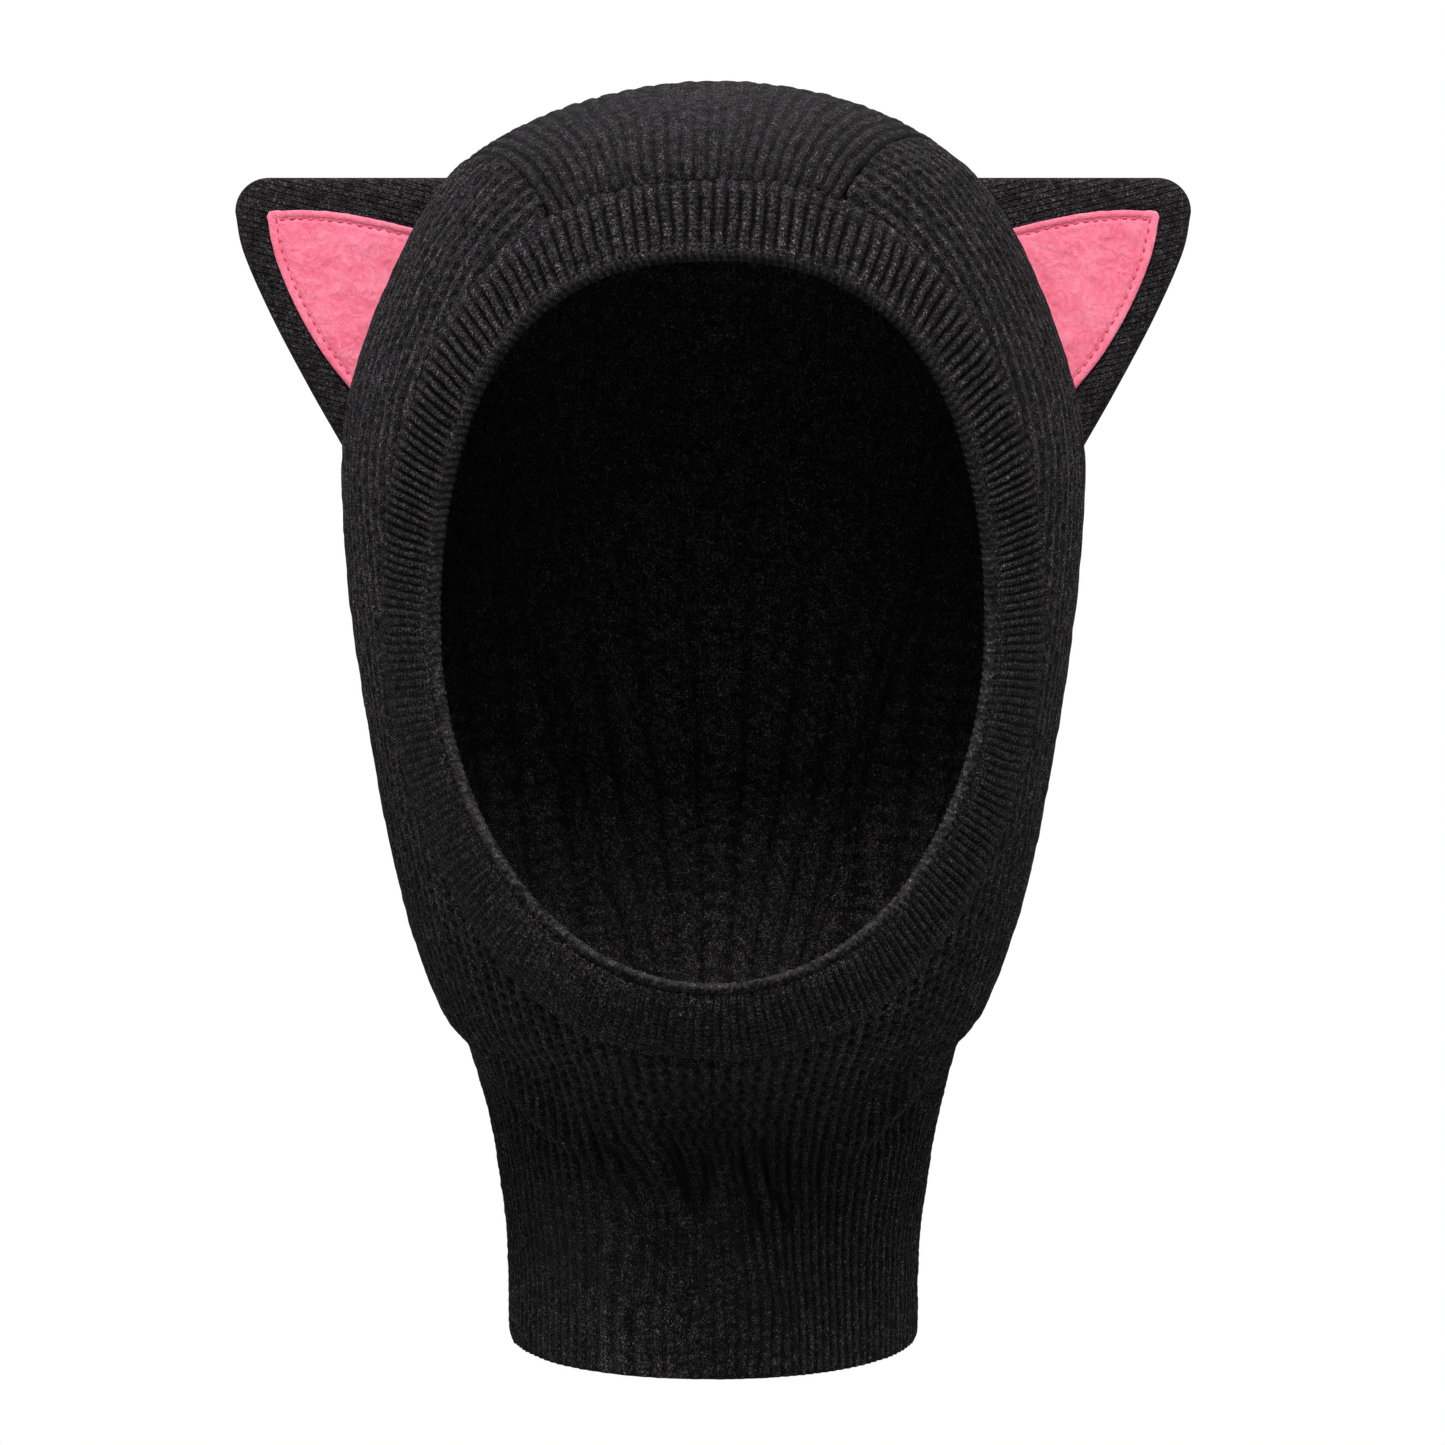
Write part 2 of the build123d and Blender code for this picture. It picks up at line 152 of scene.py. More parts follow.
def egg(shape, tau):
    a, up, dn, pu, pd = shape
    c, s = np.cos(tau), np.sin(tau)
    p = np.where(s > 0, pu, pd)
    h = np.where(s > 0, up, dn)
    k = 0.5 - 0.5 * np.cos(np.pi * np.minimum(1.0, np.abs(s) * 1.2))
    p = 2.0 + (p - 2.0) * k + np.where(s > 0, 0.15, 0.0) * (1 - k)
    x = a * np.sign(c) * np.abs(c) ** (2 / p)
    z = h * np.sign(s) * np.abs(s) ** (2 / p)
    return np.stack([x, z + OPEN_Z], -1)


# ------------------------------------------------------------------ smooth seeded noise
_lat = RNG.rand(64, 64, 64).astype(np.float32)


def noise(p, scale, seed=0.0):
    """Smooth noise in -1..1 at p (..., 3) mm with the given feature size in mm."""
    q = p / scale + 17.3 + seed * 7.77
    i = np.floor(q).astype(int)
    f = q - i
    f = f * f * (3 - 2 * f)
    i = i % 64
    j = (i + 1) % 64
    x0, y0, z0, x1, y1, z1 = i[..., 0], i[..., 1], i[..., 2], j[..., 0], j[..., 1], j[..., 2]
    fx, fy, fz = f[..., 0], f[..., 1], f[..., 2]
    c = (_lat[x0, y0, z0] * (1 - fx) + _lat[x1, y0, z0] * fx) * (1 - fy) + (_lat[x0, y1, z0] * (1 - fx) + _lat[x1, y1, z0] * fx) * fy
    d = (_lat[x0, y0, z1] * (1 - fx) + _lat[x1, y0, z1] * fx) * (1 - fy) + (_lat[x0, y1, z1] * (1 - fx) + _lat[x1, y1, z1] * fx) * fy
    return 2 * (c * (1 - fz) + d * fz) - 1


# ------------------------------------------------------------------ mesh making
def mesh_object(name, verts_mm, faces, uv=None, mat=None, attr=None):
    """faces is a list of integer arrays, each (n, 3) or (n, 4)."""
    me = bpy.data.meshes.new(name)
    verts = np.ascontiguousarray(verts_mm, np.float32) / 1000.0
    me.vertices.add(len(verts))
    me.vertices.foreach_set("co", verts.ravel())
    loops = np.concatenate([f.ravel() for f in faces]).astype(np.int32)
    sizes = np.concatenate([np.full(len(f), f.shape[1]) for f in faces]).astype(np.int32)
    me.loops.add(len(loops))
    me.loops.foreach_set("vertex_index", loops)
    me.polygons.add(len(sizes))
    me.polygons.foreach_set("loop_start", np.concatenate([[0], np.cumsum(sizes)[:-1]]).astype(np.int32))
    me.polygons.foreach_set("use_smooth", np.ones(len(sizes), bool))
    me.update(calc_edges=True)
    if uv is not None:
        layer = me.uv_layers.new(name="knit")
        layer.data.foreach_set("uv", np.ascontiguousarray(uv[loops], np.float32).ravel())
    if attr:
        for key, values in attr.items():
            a = me.attributes.new(key, "FLOAT", "POINT")
            a.data.foreach_set("value", np.ascontiguousarray(values, np.float32).ravel())
    me.validate()
    me.update()
    ob = bpy.data.objects.new(name, me)
    bpy.context.scene.collection.objects.link(ob)
    if mat:
        me.materials.append(mat)
    return ob


def quads(rows, cols, start=0, wrap=False, flip=False):
    i = np.arange(rows - 1)[:, None]
    j = np.arange(cols if wrap else cols - 1)[None, :]
    j2 = (j + 1) % cols
    a, b = i * cols + j, i * cols + j2
    c, d = (i + 1) * cols + j2, (i + 1) * cols + j
    q = np.stack([a, b, c, d], -1).reshape(-1, 4) + start
    return q[:, ::-1] if flip else q


def zipper(fine, coarse, k, flip=False):
    """Triangles between a fine line of vertex numbers and a coarse one, k to 1."""
    out = []
    h = k // 2
    for i in range(len(coarse) - 1):
        g0, g1 = coarse[i], coarse[i + 1]
        for j in range(k):
            out.append((fine[k * i + j], fine[k * i + j + 1], g0 if j < h or k == 1 else g1))
        out.append((g0, fine[k * i + (h if k > 1 else 1)], g1))
    out = np.array(out)
    return out[:, ::-1] if flip else out


def shell(name, outer, inner, k, uv_out, uv_in, wrap=False, flip=False, mat=None, attr_out=None, attr_in=None):
    """A closed thin shell between a fine outer grid and an inner grid k times coarser."""
    R, C = outer.shape[:2]
    r, c = inner.shape[:2]
    verts = np.concatenate([outer.reshape(-1, 3), inner.reshape(-1, 3)])
    uv = np.concatenate([uv_out.reshape(-1, 2), uv_in.reshape(-1, 2)])
    attr = None
    if attr_out is not None:
        attr = {"shade": np.concatenate([attr_out.ravel(), attr_in.ravel()])}
    o = R * C
    idx_f = np.arange(R * C).reshape(R, C)
    idx_c = np.arange(r * c).reshape(r, c) + o
    faces = [quads(R, C, 0, wrap, flip), quads(r, c, o, wrap, not flip)]
    if wrap:
        for row_f, row_c, fl in ((idx_f[0], idx_c[0], False), (idx_f[-1], idx_c[-1], True)):
            f = np.append(row_f, row_f[0])
            g = np.append(row_c, row_c[0])
            faces.append(zipper(f, g, k, fl ^ flip ^ True))
    else:
        f = np.concatenate([idx_f[0, :-1], idx_f[:-1, -1], idx_f[-1, :0:-1], idx_f[:, 0][::-1]])
        g = np.concatenate([idx_c[0, :-1], idx_c[:-1, -1], idx_c[-1, :0:-1], idx_c[:, 0][::-1]])
        faces.append(zipper(f, g, k, flip ^ True))
    ob = mesh_object(name, verts, faces, uv, mat, attr)
    # the cut edge inside stays crisp, so that the panels meet without a dark line
    rim = np.zeros(len(verts), bool)
    rim[g] = True
    if wrap:
        rim[idx_c[0]] = True
    ends = np.empty(len(ob.data.edges) * 2, np.int32)
    ob.data.edges.foreach_get("vertices", ends)
    sharp = ob.data.attributes.new("sharp_edge", "BOOLEAN", "EDGE")
    sharp.data.foreach_set("value", rim[ends].reshape(-1, 2).all(1))
    return ob


# ------------------------------------------------------------------ materials
def new_mat(name):
    m = bpy.data.materials.new(name)
    m.use_nodes = True
    nt = m.node_tree
    nt.nodes.clear()
    out = nt.nodes.new("ShaderNodeOutputMaterial")
    bsdf = nt.nodes.new("ShaderNodeBsdfPrincipled")
    nt.links.new(bsdf.outputs[0], out.inputs[0])
    return m, nt, bsdf


def node(nt, kind, **kw):
    n = nt.nodes.new(kind)
    for k, v in kw.items():
        if k == "inputs":
            for key, val in v.items():
                n.inputs[key].default_value = val
        else:
            setattr(n, k, v)
    return n


def math_node(nt, op, a, b=None, c=None):
    n = nt.nodes.new("ShaderNodeMath")
    n.operation = op
    for i, v in enumerate((a, b, c)):
        if v is None:
            continue
        if isinstance(v, (int, float)):
            n.inputs[i].default_value = v
        else:
            nt.links.new(v, n.inputs[i])
    return n.outputs[0]


def mix_col(nt, fac, a, b):
    n = nt.nodes.new("ShaderNodeMix")
    n.data_type = "RGBA"
    if isinstance(fac, (int, float)):
        n.inputs[0].default_value = fac
    else:
        nt.links.new(fac, n.inputs[0])
    for sock, v in ((n.inputs[6], a), (n.inputs[7], b)):
        if isinstance(v, tuple):
            sock.default_value = (*v, 1.0)
        else:
            nt.links.new(v, sock)
    return n.outputs[2]


def noise_node(nt, coords, scale, detail=2.0, rough=0.5, dist=0.0):
    n = nt.nodes.new("ShaderNodeTexNoise")
    n.inputs["Scale"].default_value = scale
    n.inputs["Detail"].default_value = detail
    n.inputs["Roughness"].default_value = rough
    n.inputs["Distortion"].default_value = dist
    nt.links.new(coords, n.inputs["Vector"])
    return n.outputs[0]


def ramp01(nt, value, lo, hi):
    n = nt.nodes.new("ShaderNodeMapRange")
    n.inputs["From Min"].default_value = lo
    n.inputs["From Max"].default_value = hi
    n.clamp = True
    nt.links.new(value, n.inputs["Value"])
    return n.outputs[0]


def knit_material(name, dark, light, fleck, rough=0.97, sheen=0.018, stitch=0.00042, fuzz=0.00040, legs=1.0, sheen_tint=(0.75, 0.76, 0.8)):
    """Heathered yarn. The UV map counts wales and courses, so every knit stitch is a V whose
    two legs lean together; fibres and flecks are noise in object space."""
    m, nt, bsdf = new_mat(name)
    uvn = node(nt, "ShaderNodeUVMap", uv_map="knit")
    sep = node(nt, "ShaderNodeSeparateXYZ")
    nt.links.new(uvn.outputs[0], sep.inputs[0])
    u, v = sep.outputs[0], sep.outputs[1]
    x = math_node(nt, "ABSOLUTE", math_node(nt, "SUBTRACT", math_node(nt, "FRACT", u), 0.5))  # 0 centre .. 0.5 edge
    x2 = math_node(nt, "MULTIPLY", x, 2.0)
    leg = math_node(nt, "SUBTRACT", 1.0, math_node(nt, "POWER", math_node(nt, "MULTIPLY", math_node(nt, "ABSOLUTE", math_node(nt, "SUBTRACT", x2, 0.5)), 2.0), 2.0))
    lean = math_node(nt, "SINE", math_node(nt, "MULTIPLY", math_node(nt, "ADD", v, math_node(nt, "MULTIPLY", x2, -0.75)), 2 * math.pi))
    lean01 = math_node(nt, "ADD", math_node(nt, "MULTIPLY", lean, 0.5), 0.5)
    stitch_h = math_node(nt, "MULTIPLY", leg, math_node(nt, "ADD", 0.35, math_node(nt, "MULTIPLY", lean01, 0.65 * legs)))
    tc = node(nt, "ShaderNodeTexCoord")
    obj = tc.outputs["Object"]
    n_fibre = noise_node(nt, obj, 3000.0, 3.0, 0.8, 0.8)
    n_fine = noise_node(nt, obj, 1500.0, 3.0, 0.7, 0.5)
    n_mid = noise_node(nt, obj, 420.0, 3.0, 0.6)
    n_big = noise_node(nt, obj, 26.0, 3.0, 0.55)
    # colour: painted shade in the gaps between the legs, lighter on the yarn, with pale fibres
    base = mix_col(nt, ramp01(nt, stitch_h, 0.1, 0.85), dark, light)
    speck = math_node(nt, "MULTIPLY", ramp01(nt, n_fibre, 0.53, 0.63), ramp01(nt, n_fine, 0.42, 0.56))
    base = mix_col(nt, speck, base, fleck)
    dull = tuple(c * 0.4 for c in dark)
    base = mix_col(nt, math_node(nt, "MULTIPLY", ramp01(nt, n_mid, 0.56, 0.38), 0.6), base, dull)
    base = mix_col(nt, math_node(nt, "MULTIPLY", ramp01(nt, n_big, 0.40, 0.68), 0.28), base, light)
    # the mesh attribute 'shade' scales the colour: it carries painted shade in hollows and low down, and painted
    # light inside
    at = node(nt, "ShaderNodeAttribute", attribute_name="shade")
    vm = nt.nodes.new("ShaderNodeVectorMath")
    vm.operation = "SCALE"
    nt.links.new(base, vm.inputs[0])
    nt.links.new(at.outputs["Fac"], vm.inputs["Scale"])
    base = vm.outputs[0]
    nt.links.new(base, bsdf.inputs["Base Color"])
    bsdf.inputs["Roughness"].default_value = rough
    bsdf.inputs["Specular IOR Level"].default_value = 0.03
    bsdf.inputs["Sheen Weight"].default_value = sheen
    bsdf.inputs["Sheen Roughness"].default_value = 0.35
    bsdf.inputs["Sheen Tint"].default_value = (*sheen_tint, 1.0)
    b1 = node(nt, "ShaderNodeBump", inputs={"Distance": stitch, "Strength": 1.0})
    nt.links.new(stitch_h, b1.inputs["Height"])
    b2 = node(nt, "ShaderNodeBump", inputs={"Distance": fuzz, "Strength": 1.0})
    nt.links.new(math_node(nt, "ADD", n_fibre, math_node(nt, "MULTIPLY", n_fine, 0.8)), b2.inputs["Height"])
    nt.links.new(b1.outputs[0], b2.inputs["Normal"])
    nt.links.new(b2.outputs[0], bsdf.inputs["Normal"])
    return m


DARK, LIGHT, FLECK = (0.0036, 0.0033, 0.0036), (0.0165, 0.0152, 0.0160), (0.300, 0.277, 0.292)
M_RIB = knit_material("rib_knit", DARK, LIGHT, FLECK)
M_WAFFLE = knit_material("waffle_knit", DARK, LIGHT, FLECK, stitch=0.0003)
M_CROWN = knit_material("crown_knit", DARK, LIGHT, FLECK, stitch=0.00026, fuzz=0.0003)
M_NECK = knit_material("neck_knit", DARK, LIGHT, FLECK)
M_EDGE = knit_material("cast_off_edge", (0.008, 0.0076, 0.0080), (0.030, 0.028, 0.029), (0.135, 0.128, 0.131), stitch=0.0002, legs=0.4)
M_EAR = knit_material("ear_knit", (0.0055, 0.0050, 0.0053), (0.022, 0.0202, 0.0212), (0.212, 0.196, 0.205), stitch=0.0002, fuzz=0.0003)
M_SEAM = knit_material("seam_yarn", DARK, LIGHT, FLECK, stitch=0.0002)


def felt_material():
    m, nt, bsdf = new_mat("pink_felt")
    tc = node(nt, "ShaderNodeTexCoord")
    obj = tc.outputs["Object"]
    big = noise_node(nt, obj, 70.0, 4.0, 0.6, 0.8)
    mid = noise_node(nt, obj, 320.0, 4.0, 0.65, 1.2)
    fib = noise_node(nt, obj, 2400.0, 3.0, 0.7, 2.5)
    col = mix_col(nt, ramp01(nt, big, 0.35, 0.65), (0.90, 0.135, 0.235), (0.96, 0.215, 0.315))
    col = mix_col(nt, math_node(nt, "MULTIPLY", ramp01(nt, mid, 0.45, 0.75), 0.6), col, (1.0, 0.34, 0.44))
    col = mix_col(nt, math_node(nt, "MULTIPLY", ramp01(nt, mid, 0.5, 0.25), 0.45), col, (0.80, 0.085, 0.17))
    col = mix_col(nt, math_node(nt, "MULTIPLY", ramp01(nt, fib, 0.50, 0.66), 0.5), col, (1.0, 0.42, 0.52))
    col = mix_col(nt, math_node(nt, "MULTIPLY", ramp01(nt, fib, 0.48, 0.34), 0.5), col, (0.78, 0.075, 0.16))
    nt.links.new(col, bsdf.inputs["Base Color"])
    bsdf.inputs["Roughness"].default_value = 0.95
    bsdf.inputs["Specular IOR Level"].default_value = 0.1
    bsdf.inputs["Sheen Weight"].default_value = 0.25
    bsdf.inputs["Sheen Roughness"].default_value = 0.5
    bsdf.inputs["Sheen Tint"].default_value = (1.0, 0.6, 0.68, 1.0)
    b1 = node(nt, "ShaderNodeBump", inputs={"Distance": 0.0006, "Strength": 0.8})
    nt.links.new(mid, b1.inputs["Height"])
    b2 = node(nt, "ShaderNodeBump", inputs={"Distance": 0.0004, "Strength": 1.0})
    nt.links.new(fib, b2.inputs["Height"])
    nt.links.new(b1.outputs[0], b2.inputs["Normal"])
    nt.links.new(b2.outputs[0], bsdf.inputs["Normal"])
    return m


M_FELT = felt_material()


def thread_material():
    m, nt, bsdf = new_mat("pink_thread")
    tc = node(nt, "ShaderNodeTexCoord")
    w = node(nt, "ShaderNodeTexWave", inputs={"Scale": 900.0, "Distortion": 1.5})
    nt.links.new(tc.outputs["Object"], w.inputs["Vector"])
    col = mix_col(nt, w.outputs["Fac"], (0.50, 0.045, 0.10), (0.72, 0.10, 0.18))
    nt.links.new(col, bsdf.inputs["Base Color"])
    bsdf.inputs["Roughness"].default_value = 0.7
    b = node(nt, "ShaderNodeBump", inputs={"Distance": 0.0001})
    nt.links.new(w.outputs["Fac"], b.inputs["Height"])
    nt.links.new(b.outputs[0], bsdf.inputs["Normal"])
    return m


M_THREAD = thread_material()


# ------------------------------------------------------------------ knit relief
def ridge(phase, width=0.34, power=2.0):
    """A rounded rib in each unit of phase, 1 at its middle and 0 in the valley."""
    f = np.abs(phase - np.floor(phase) - 0.5)
    return np.maximum(1 - (f / width) ** power, 0) ** 0.6


def sstep(x, lo, hi):
    t = np.clip((x - lo) / (hi - lo), 0, 1)
    return t * t * (3 - 2 * t)


# wale coordinate: arc length along the section at z = 200, from the front centre to the back
_th = np.linspace(0, np.pi, 1200)
_y200 = SY - np.where(np.cos(_th) > 0, ff(202.5), fb(202.5)) * np.sign(np.cos(_th)) * np.abs(np.cos(_th)) ** (2 / P)
_x200 = fa(202.5) * np.abs(np.sin(_th)) ** (2 / P)
_s200 = np.concatenate([[0], np.cumsum(np.hypot(np.diff(_x200), np.diff(_y200)))])
HALF_S = _s200[-1]
# course coordinate: counts rows of waffle cells up from the hem; the rows are packed at the chin
_zz = np.linspace(0, 420, 2000)
_pitch = np.interp(_zz, [0, 62, 80, 110, 150, 230, 420], [2.2, 2.3, 2.5, 3.2, 4.2, 4.0, 3.8])
_rows = np.concatenate([[0], np.cumsum(np.diff(_zz) / ((_pitch[1:] + _pitch[:-1]) / 2))])
WALES = 122  # ribs round the whole body


def knit_coords(p):
    """(wale, row, height): wale counts ribs from the front centre, row counts waffle rows."""
    x, y, z = p[..., 0], p[..., 1], p[..., 2]
    zc = np.minimum(z, 202.5)
    r = np.where(y < SY, ff(zc), fb(zc))
    r200 = np.where(y < SY, ff(202.5), fb(202.5))
    yr = SY + (y - SY) * r200 / r
    # close to the front and back centre the side distance tells more than the depth does
    xr = np.abs(x) * fa(202.5) / fa(zc)
    ang = np.arctan2(xr / fa(202.5), -(yr - SY) / r200)
    s_low = np.interp(ang, np.arctan2(_x200 / fa(202.5), -(_y200 - SY) / np.where(_y200 < SY, ff(202.5), fb(202.5))), _s200)
    s_high = np.interp(-np.clip(yr, _y200[0], _y200[-1]), -_y200[::-1], _s200[::-1])
    w = sstep(z, 187.5, 227.5)
    s = s_low * (1 - w) + s_high * w
    eps = np.arctan2(np.maximum(z - 202.5, 0), np.maximum(np.abs(x), 1e-3))
    h = np.where(z < 202.5, z, 202.5 + 98.0 * eps)
    row = np.interp(h, _zz, _rows)
    return s / (2 * HALF_S) * WALES, row, h


def chin_warp(p):
    """How far the ribs are pulled sideways where they gather and cross under the chin, in
    ribs, counted towards +X; the same on both sides of the neck join."""
    x, y, z = p[..., 0], p[..., 1], p[..., 2]

    # the ribs close up under the chin, then all of them lean towards +X on their way down, so
    # that the knit is stretched smooth on one side and gathered on the other
    hold = np.where(z > 46, np.exp(-((z - 46) / 13) ** 2), 1 - 0.6 * sstep(46 - z, 0, 36))
    w = -0.42 * (x + 2) * np.exp(-((x + 2) / 20) ** 2) * hold / 2.75
    w = w + 2.3 * sstep(68 - z, 0, 31) * sstep(x, -31, -12) * (1 - sstep(x, 10, 34))
    w = w + 0.7 * sstep(40 - z, 0, 30) * sstep(x, -2, 16) * (1 - sstep(x, 26, 46))
    # small waves where it is pushed together
    w = w + 0.36 * np.exp(-((x + 2) / 19) ** 2 - ((z - 67) / 9) ** 2) * np.sin(2 * np.pi * z / 5.4)
    return w * (y < SY)


GATHERS = [  # height in mm, half width in mm, and the line as (z, x) points from low to high
    (-1.0, 1.2, (41, -5.2), (49, -7.0), (58, -9.4)),
    (-0.8, 0.9, (42, -2.0), (50, -1.8), (57, -2.4)),
    (-1.1, 1.3, (37, 17.8), (46, 13.6), (58, 10.8)),
    (-0.9, 1.1, (37, 11.2), (47, 8.6), (56, 6.8)),
    (-0.8, 1.1, (41, 18.9), (49, 18.2), (58, 17.6)),
    (-0.7, 1.0, (47, -21.8), (53, -22.2), (60, -23.6)),
    (-0.6, 1.0, (48, -26.8), (54, -27.4), (61, -29.6)),
    (-0.6, 1.0, (46, 25.0), (53, 25.4), (61, 27.4)),
    (0.9, 1.5, (39, -6.0), (49, -12.4), (66, -17.0)),
    (0.5, 1.5, (40, 2.2), (49, 2.0), (57, 3.0)),
    (0.6, 1.5, (40, 15.0), (47, 11.2), (58, 8.8)),
]


def gathers(p):
    """The few gathers that stand out where the ribs crowd together under the chin, in mm."""
    x, y, z = p[..., 0], p[..., 1], p[..., 2]
    h = 0 * x
    for height, half, *line in GATHERS:
        zs, xs = [q[0] for q in line], [q[1] for q in line]
        fade = sstep(z, zs[0] - 5, zs[0] + 3) * (1 - sstep(z, zs[-1] - 3, zs[-1] + 4))
        h = h + 1.35 * height * fade * np.exp(-((x - np.interp(z, zs, xs)) / half) ** 2)
    return h * (y < SY)


def gather_shade(p):
    # painted shade in the gathers' grooves and painted light on their ridges, and painted shade in the middle of the
    # chin, where less light falls
    return np.clip(1 + 0.60 * gathers(p), 0.28, 1.40) * (1 - 0.20 * np.exp(-(p[..., 0] / 30) ** 2) * (1 - sstep(p[..., 2], 85, 105)) * sstep(p[..., 2], 30, 60))


def jaw_fold(p):
    """The soft fold that runs in from each side where the jaw narrows to the neck, in mm."""
    x, y, z = p[..., 0], p[..., 1], p[..., 2]
    line = 55.5 - (75 - z) * 1.07
    span = sstep(z, 50, 58) * (1 - sstep(z, 76, 86)) * (y < SY)
    return span * (1.7 * np.exp(-((np.abs(x) - line) / 4.0) ** 2) - 1.3 * np.exp(-((np.abs(x) - line - 7.5) / 3.8) ** 2) * (1 - sstep(np.abs(x), 46.0, 53.0)))


def waffle(wale, row, depth, rung=0.72, width=0.33):
    ribs = ridge(wale, width, 2.2)
    # the rungs of neighbouring valleys are half a row apart
    bars = ridge(row + 0.5 * (np.floor(wale + 0.5) % 2), 0.36, 2.0)
    return depth * np.maximum(ribs, rung * bars * (0.35 + 0.65 * (1 - ribs))), np.maximum(ribs, rung * bars)


def inside_cells(wale, row):
    h = (0.38 + 0.62 * ridge(wale, 0.46, 3.0)) * (0.40 + 0.60 * ridge(row, 0.42, 2.0))
    return h, h


# painted light and shade on the inside: lighter above z 122, where the back wall lies in the crown's shadow, and
# darker below, where the key light reaches it
def inside_shade(p):
    return np.interp(p[..., 2], [60, 108, 122, 140, 175, 215], [0.84, 0.78, 1.0, 1.40, 1.28, 0.95])


def rope(name, path, radius, pitch, mat, strands=2, around=14, step=0.45):
    """A twisted yarn along a line of points, as one closed mesh."""
    path = np.asarray(path, float)
    seg = np.linalg.norm(np.diff(path, axis=0), axis=1)
    s = np.concatenate([[0], np.cumsum(seg)])
    n = int(s[-1] / step)
    u = np.linspace(0, s[-1], n)
    c = np.stack([np.interp(u, s, path[:, k]) for k in range(3)], -1)
    for _ in range(6):
        c[1:-1] = (c[:-2] + 2 * c[1:-1] + c[2:]) / 4
    t = np.gradient(c, axis=0)
    t /= np.linalg.norm(t, axis=1, keepdims=True)
    ref = np.cross(t, gradient(c))
    ref /= np.linalg.norm(ref, axis=1, keepdims=True)
    up = np.cross(t, ref)
    ang = np.linspace(0, 2 * np.pi, around, endpoint=False)
    twist = 2 * np.pi * u / pitch
    rr = radius * (0.80 + 0.20 * np.cos(strands * (ang[None, :] - twist[:, None])))
    pts = c[:, None] + rr[..., None] * (np.cos(ang)[None, :, None] * ref[:, None] + np.sin(ang)[None, :, None] * up[:, None])
    uv = np.stack(np.broadcast_arrays(u[:, None] / 1.2, ang[None, :] / 2), -1)
    verts = np.concatenate([pts.reshape(-1, 3), c[:1], c[-1:]])
    uv = np.concatenate([uv.reshape(-1, 2), [[0, 0]], [[0, 0]]])
    j = np.arange(around)
    j2 = (j + 1) % around
    a, b = n * around, n * around + 1
    last = (n - 1) * around
    caps = [np.stack([np.full(around, a), j2, j], -1), np.stack([np.full(around, b), last + j, last + j2], -1)]
    # the seam yarns are painted lighter (shade 1.25), to match the painted light on the inside surfaces
    return mesh_object(name, verts, [quads(n, around, 0, True)] + caps, uv, mat, {"shade": np.full(len(verts), 1.25)})


# ------------------------------------------------------------------ face band
def widen(tau):
    """How far the worn opening is pulled outwards past its plain outline, in mm."""
    right = np.interp(np.sin(tau), [-1.0, -0.92, -0.75, -0.45, 0.0, 0.5, 0.9], [0.0, 0.8, 1.5, 1.1, 0.6, 0.3, 0.0])
    left = np.interp(np.sin(tau), [-1.0, -0.92, -0.75, -0.45, 0.0, 0.5, 0.9], [0.0, 0.5, 1.0, 0.9, 0.6, 0.3, 0.0])
    k = 0.5 + 0.5 * np.clip(np.cos(tau) * 4, -1, 1)
    return left + (right - left) * k


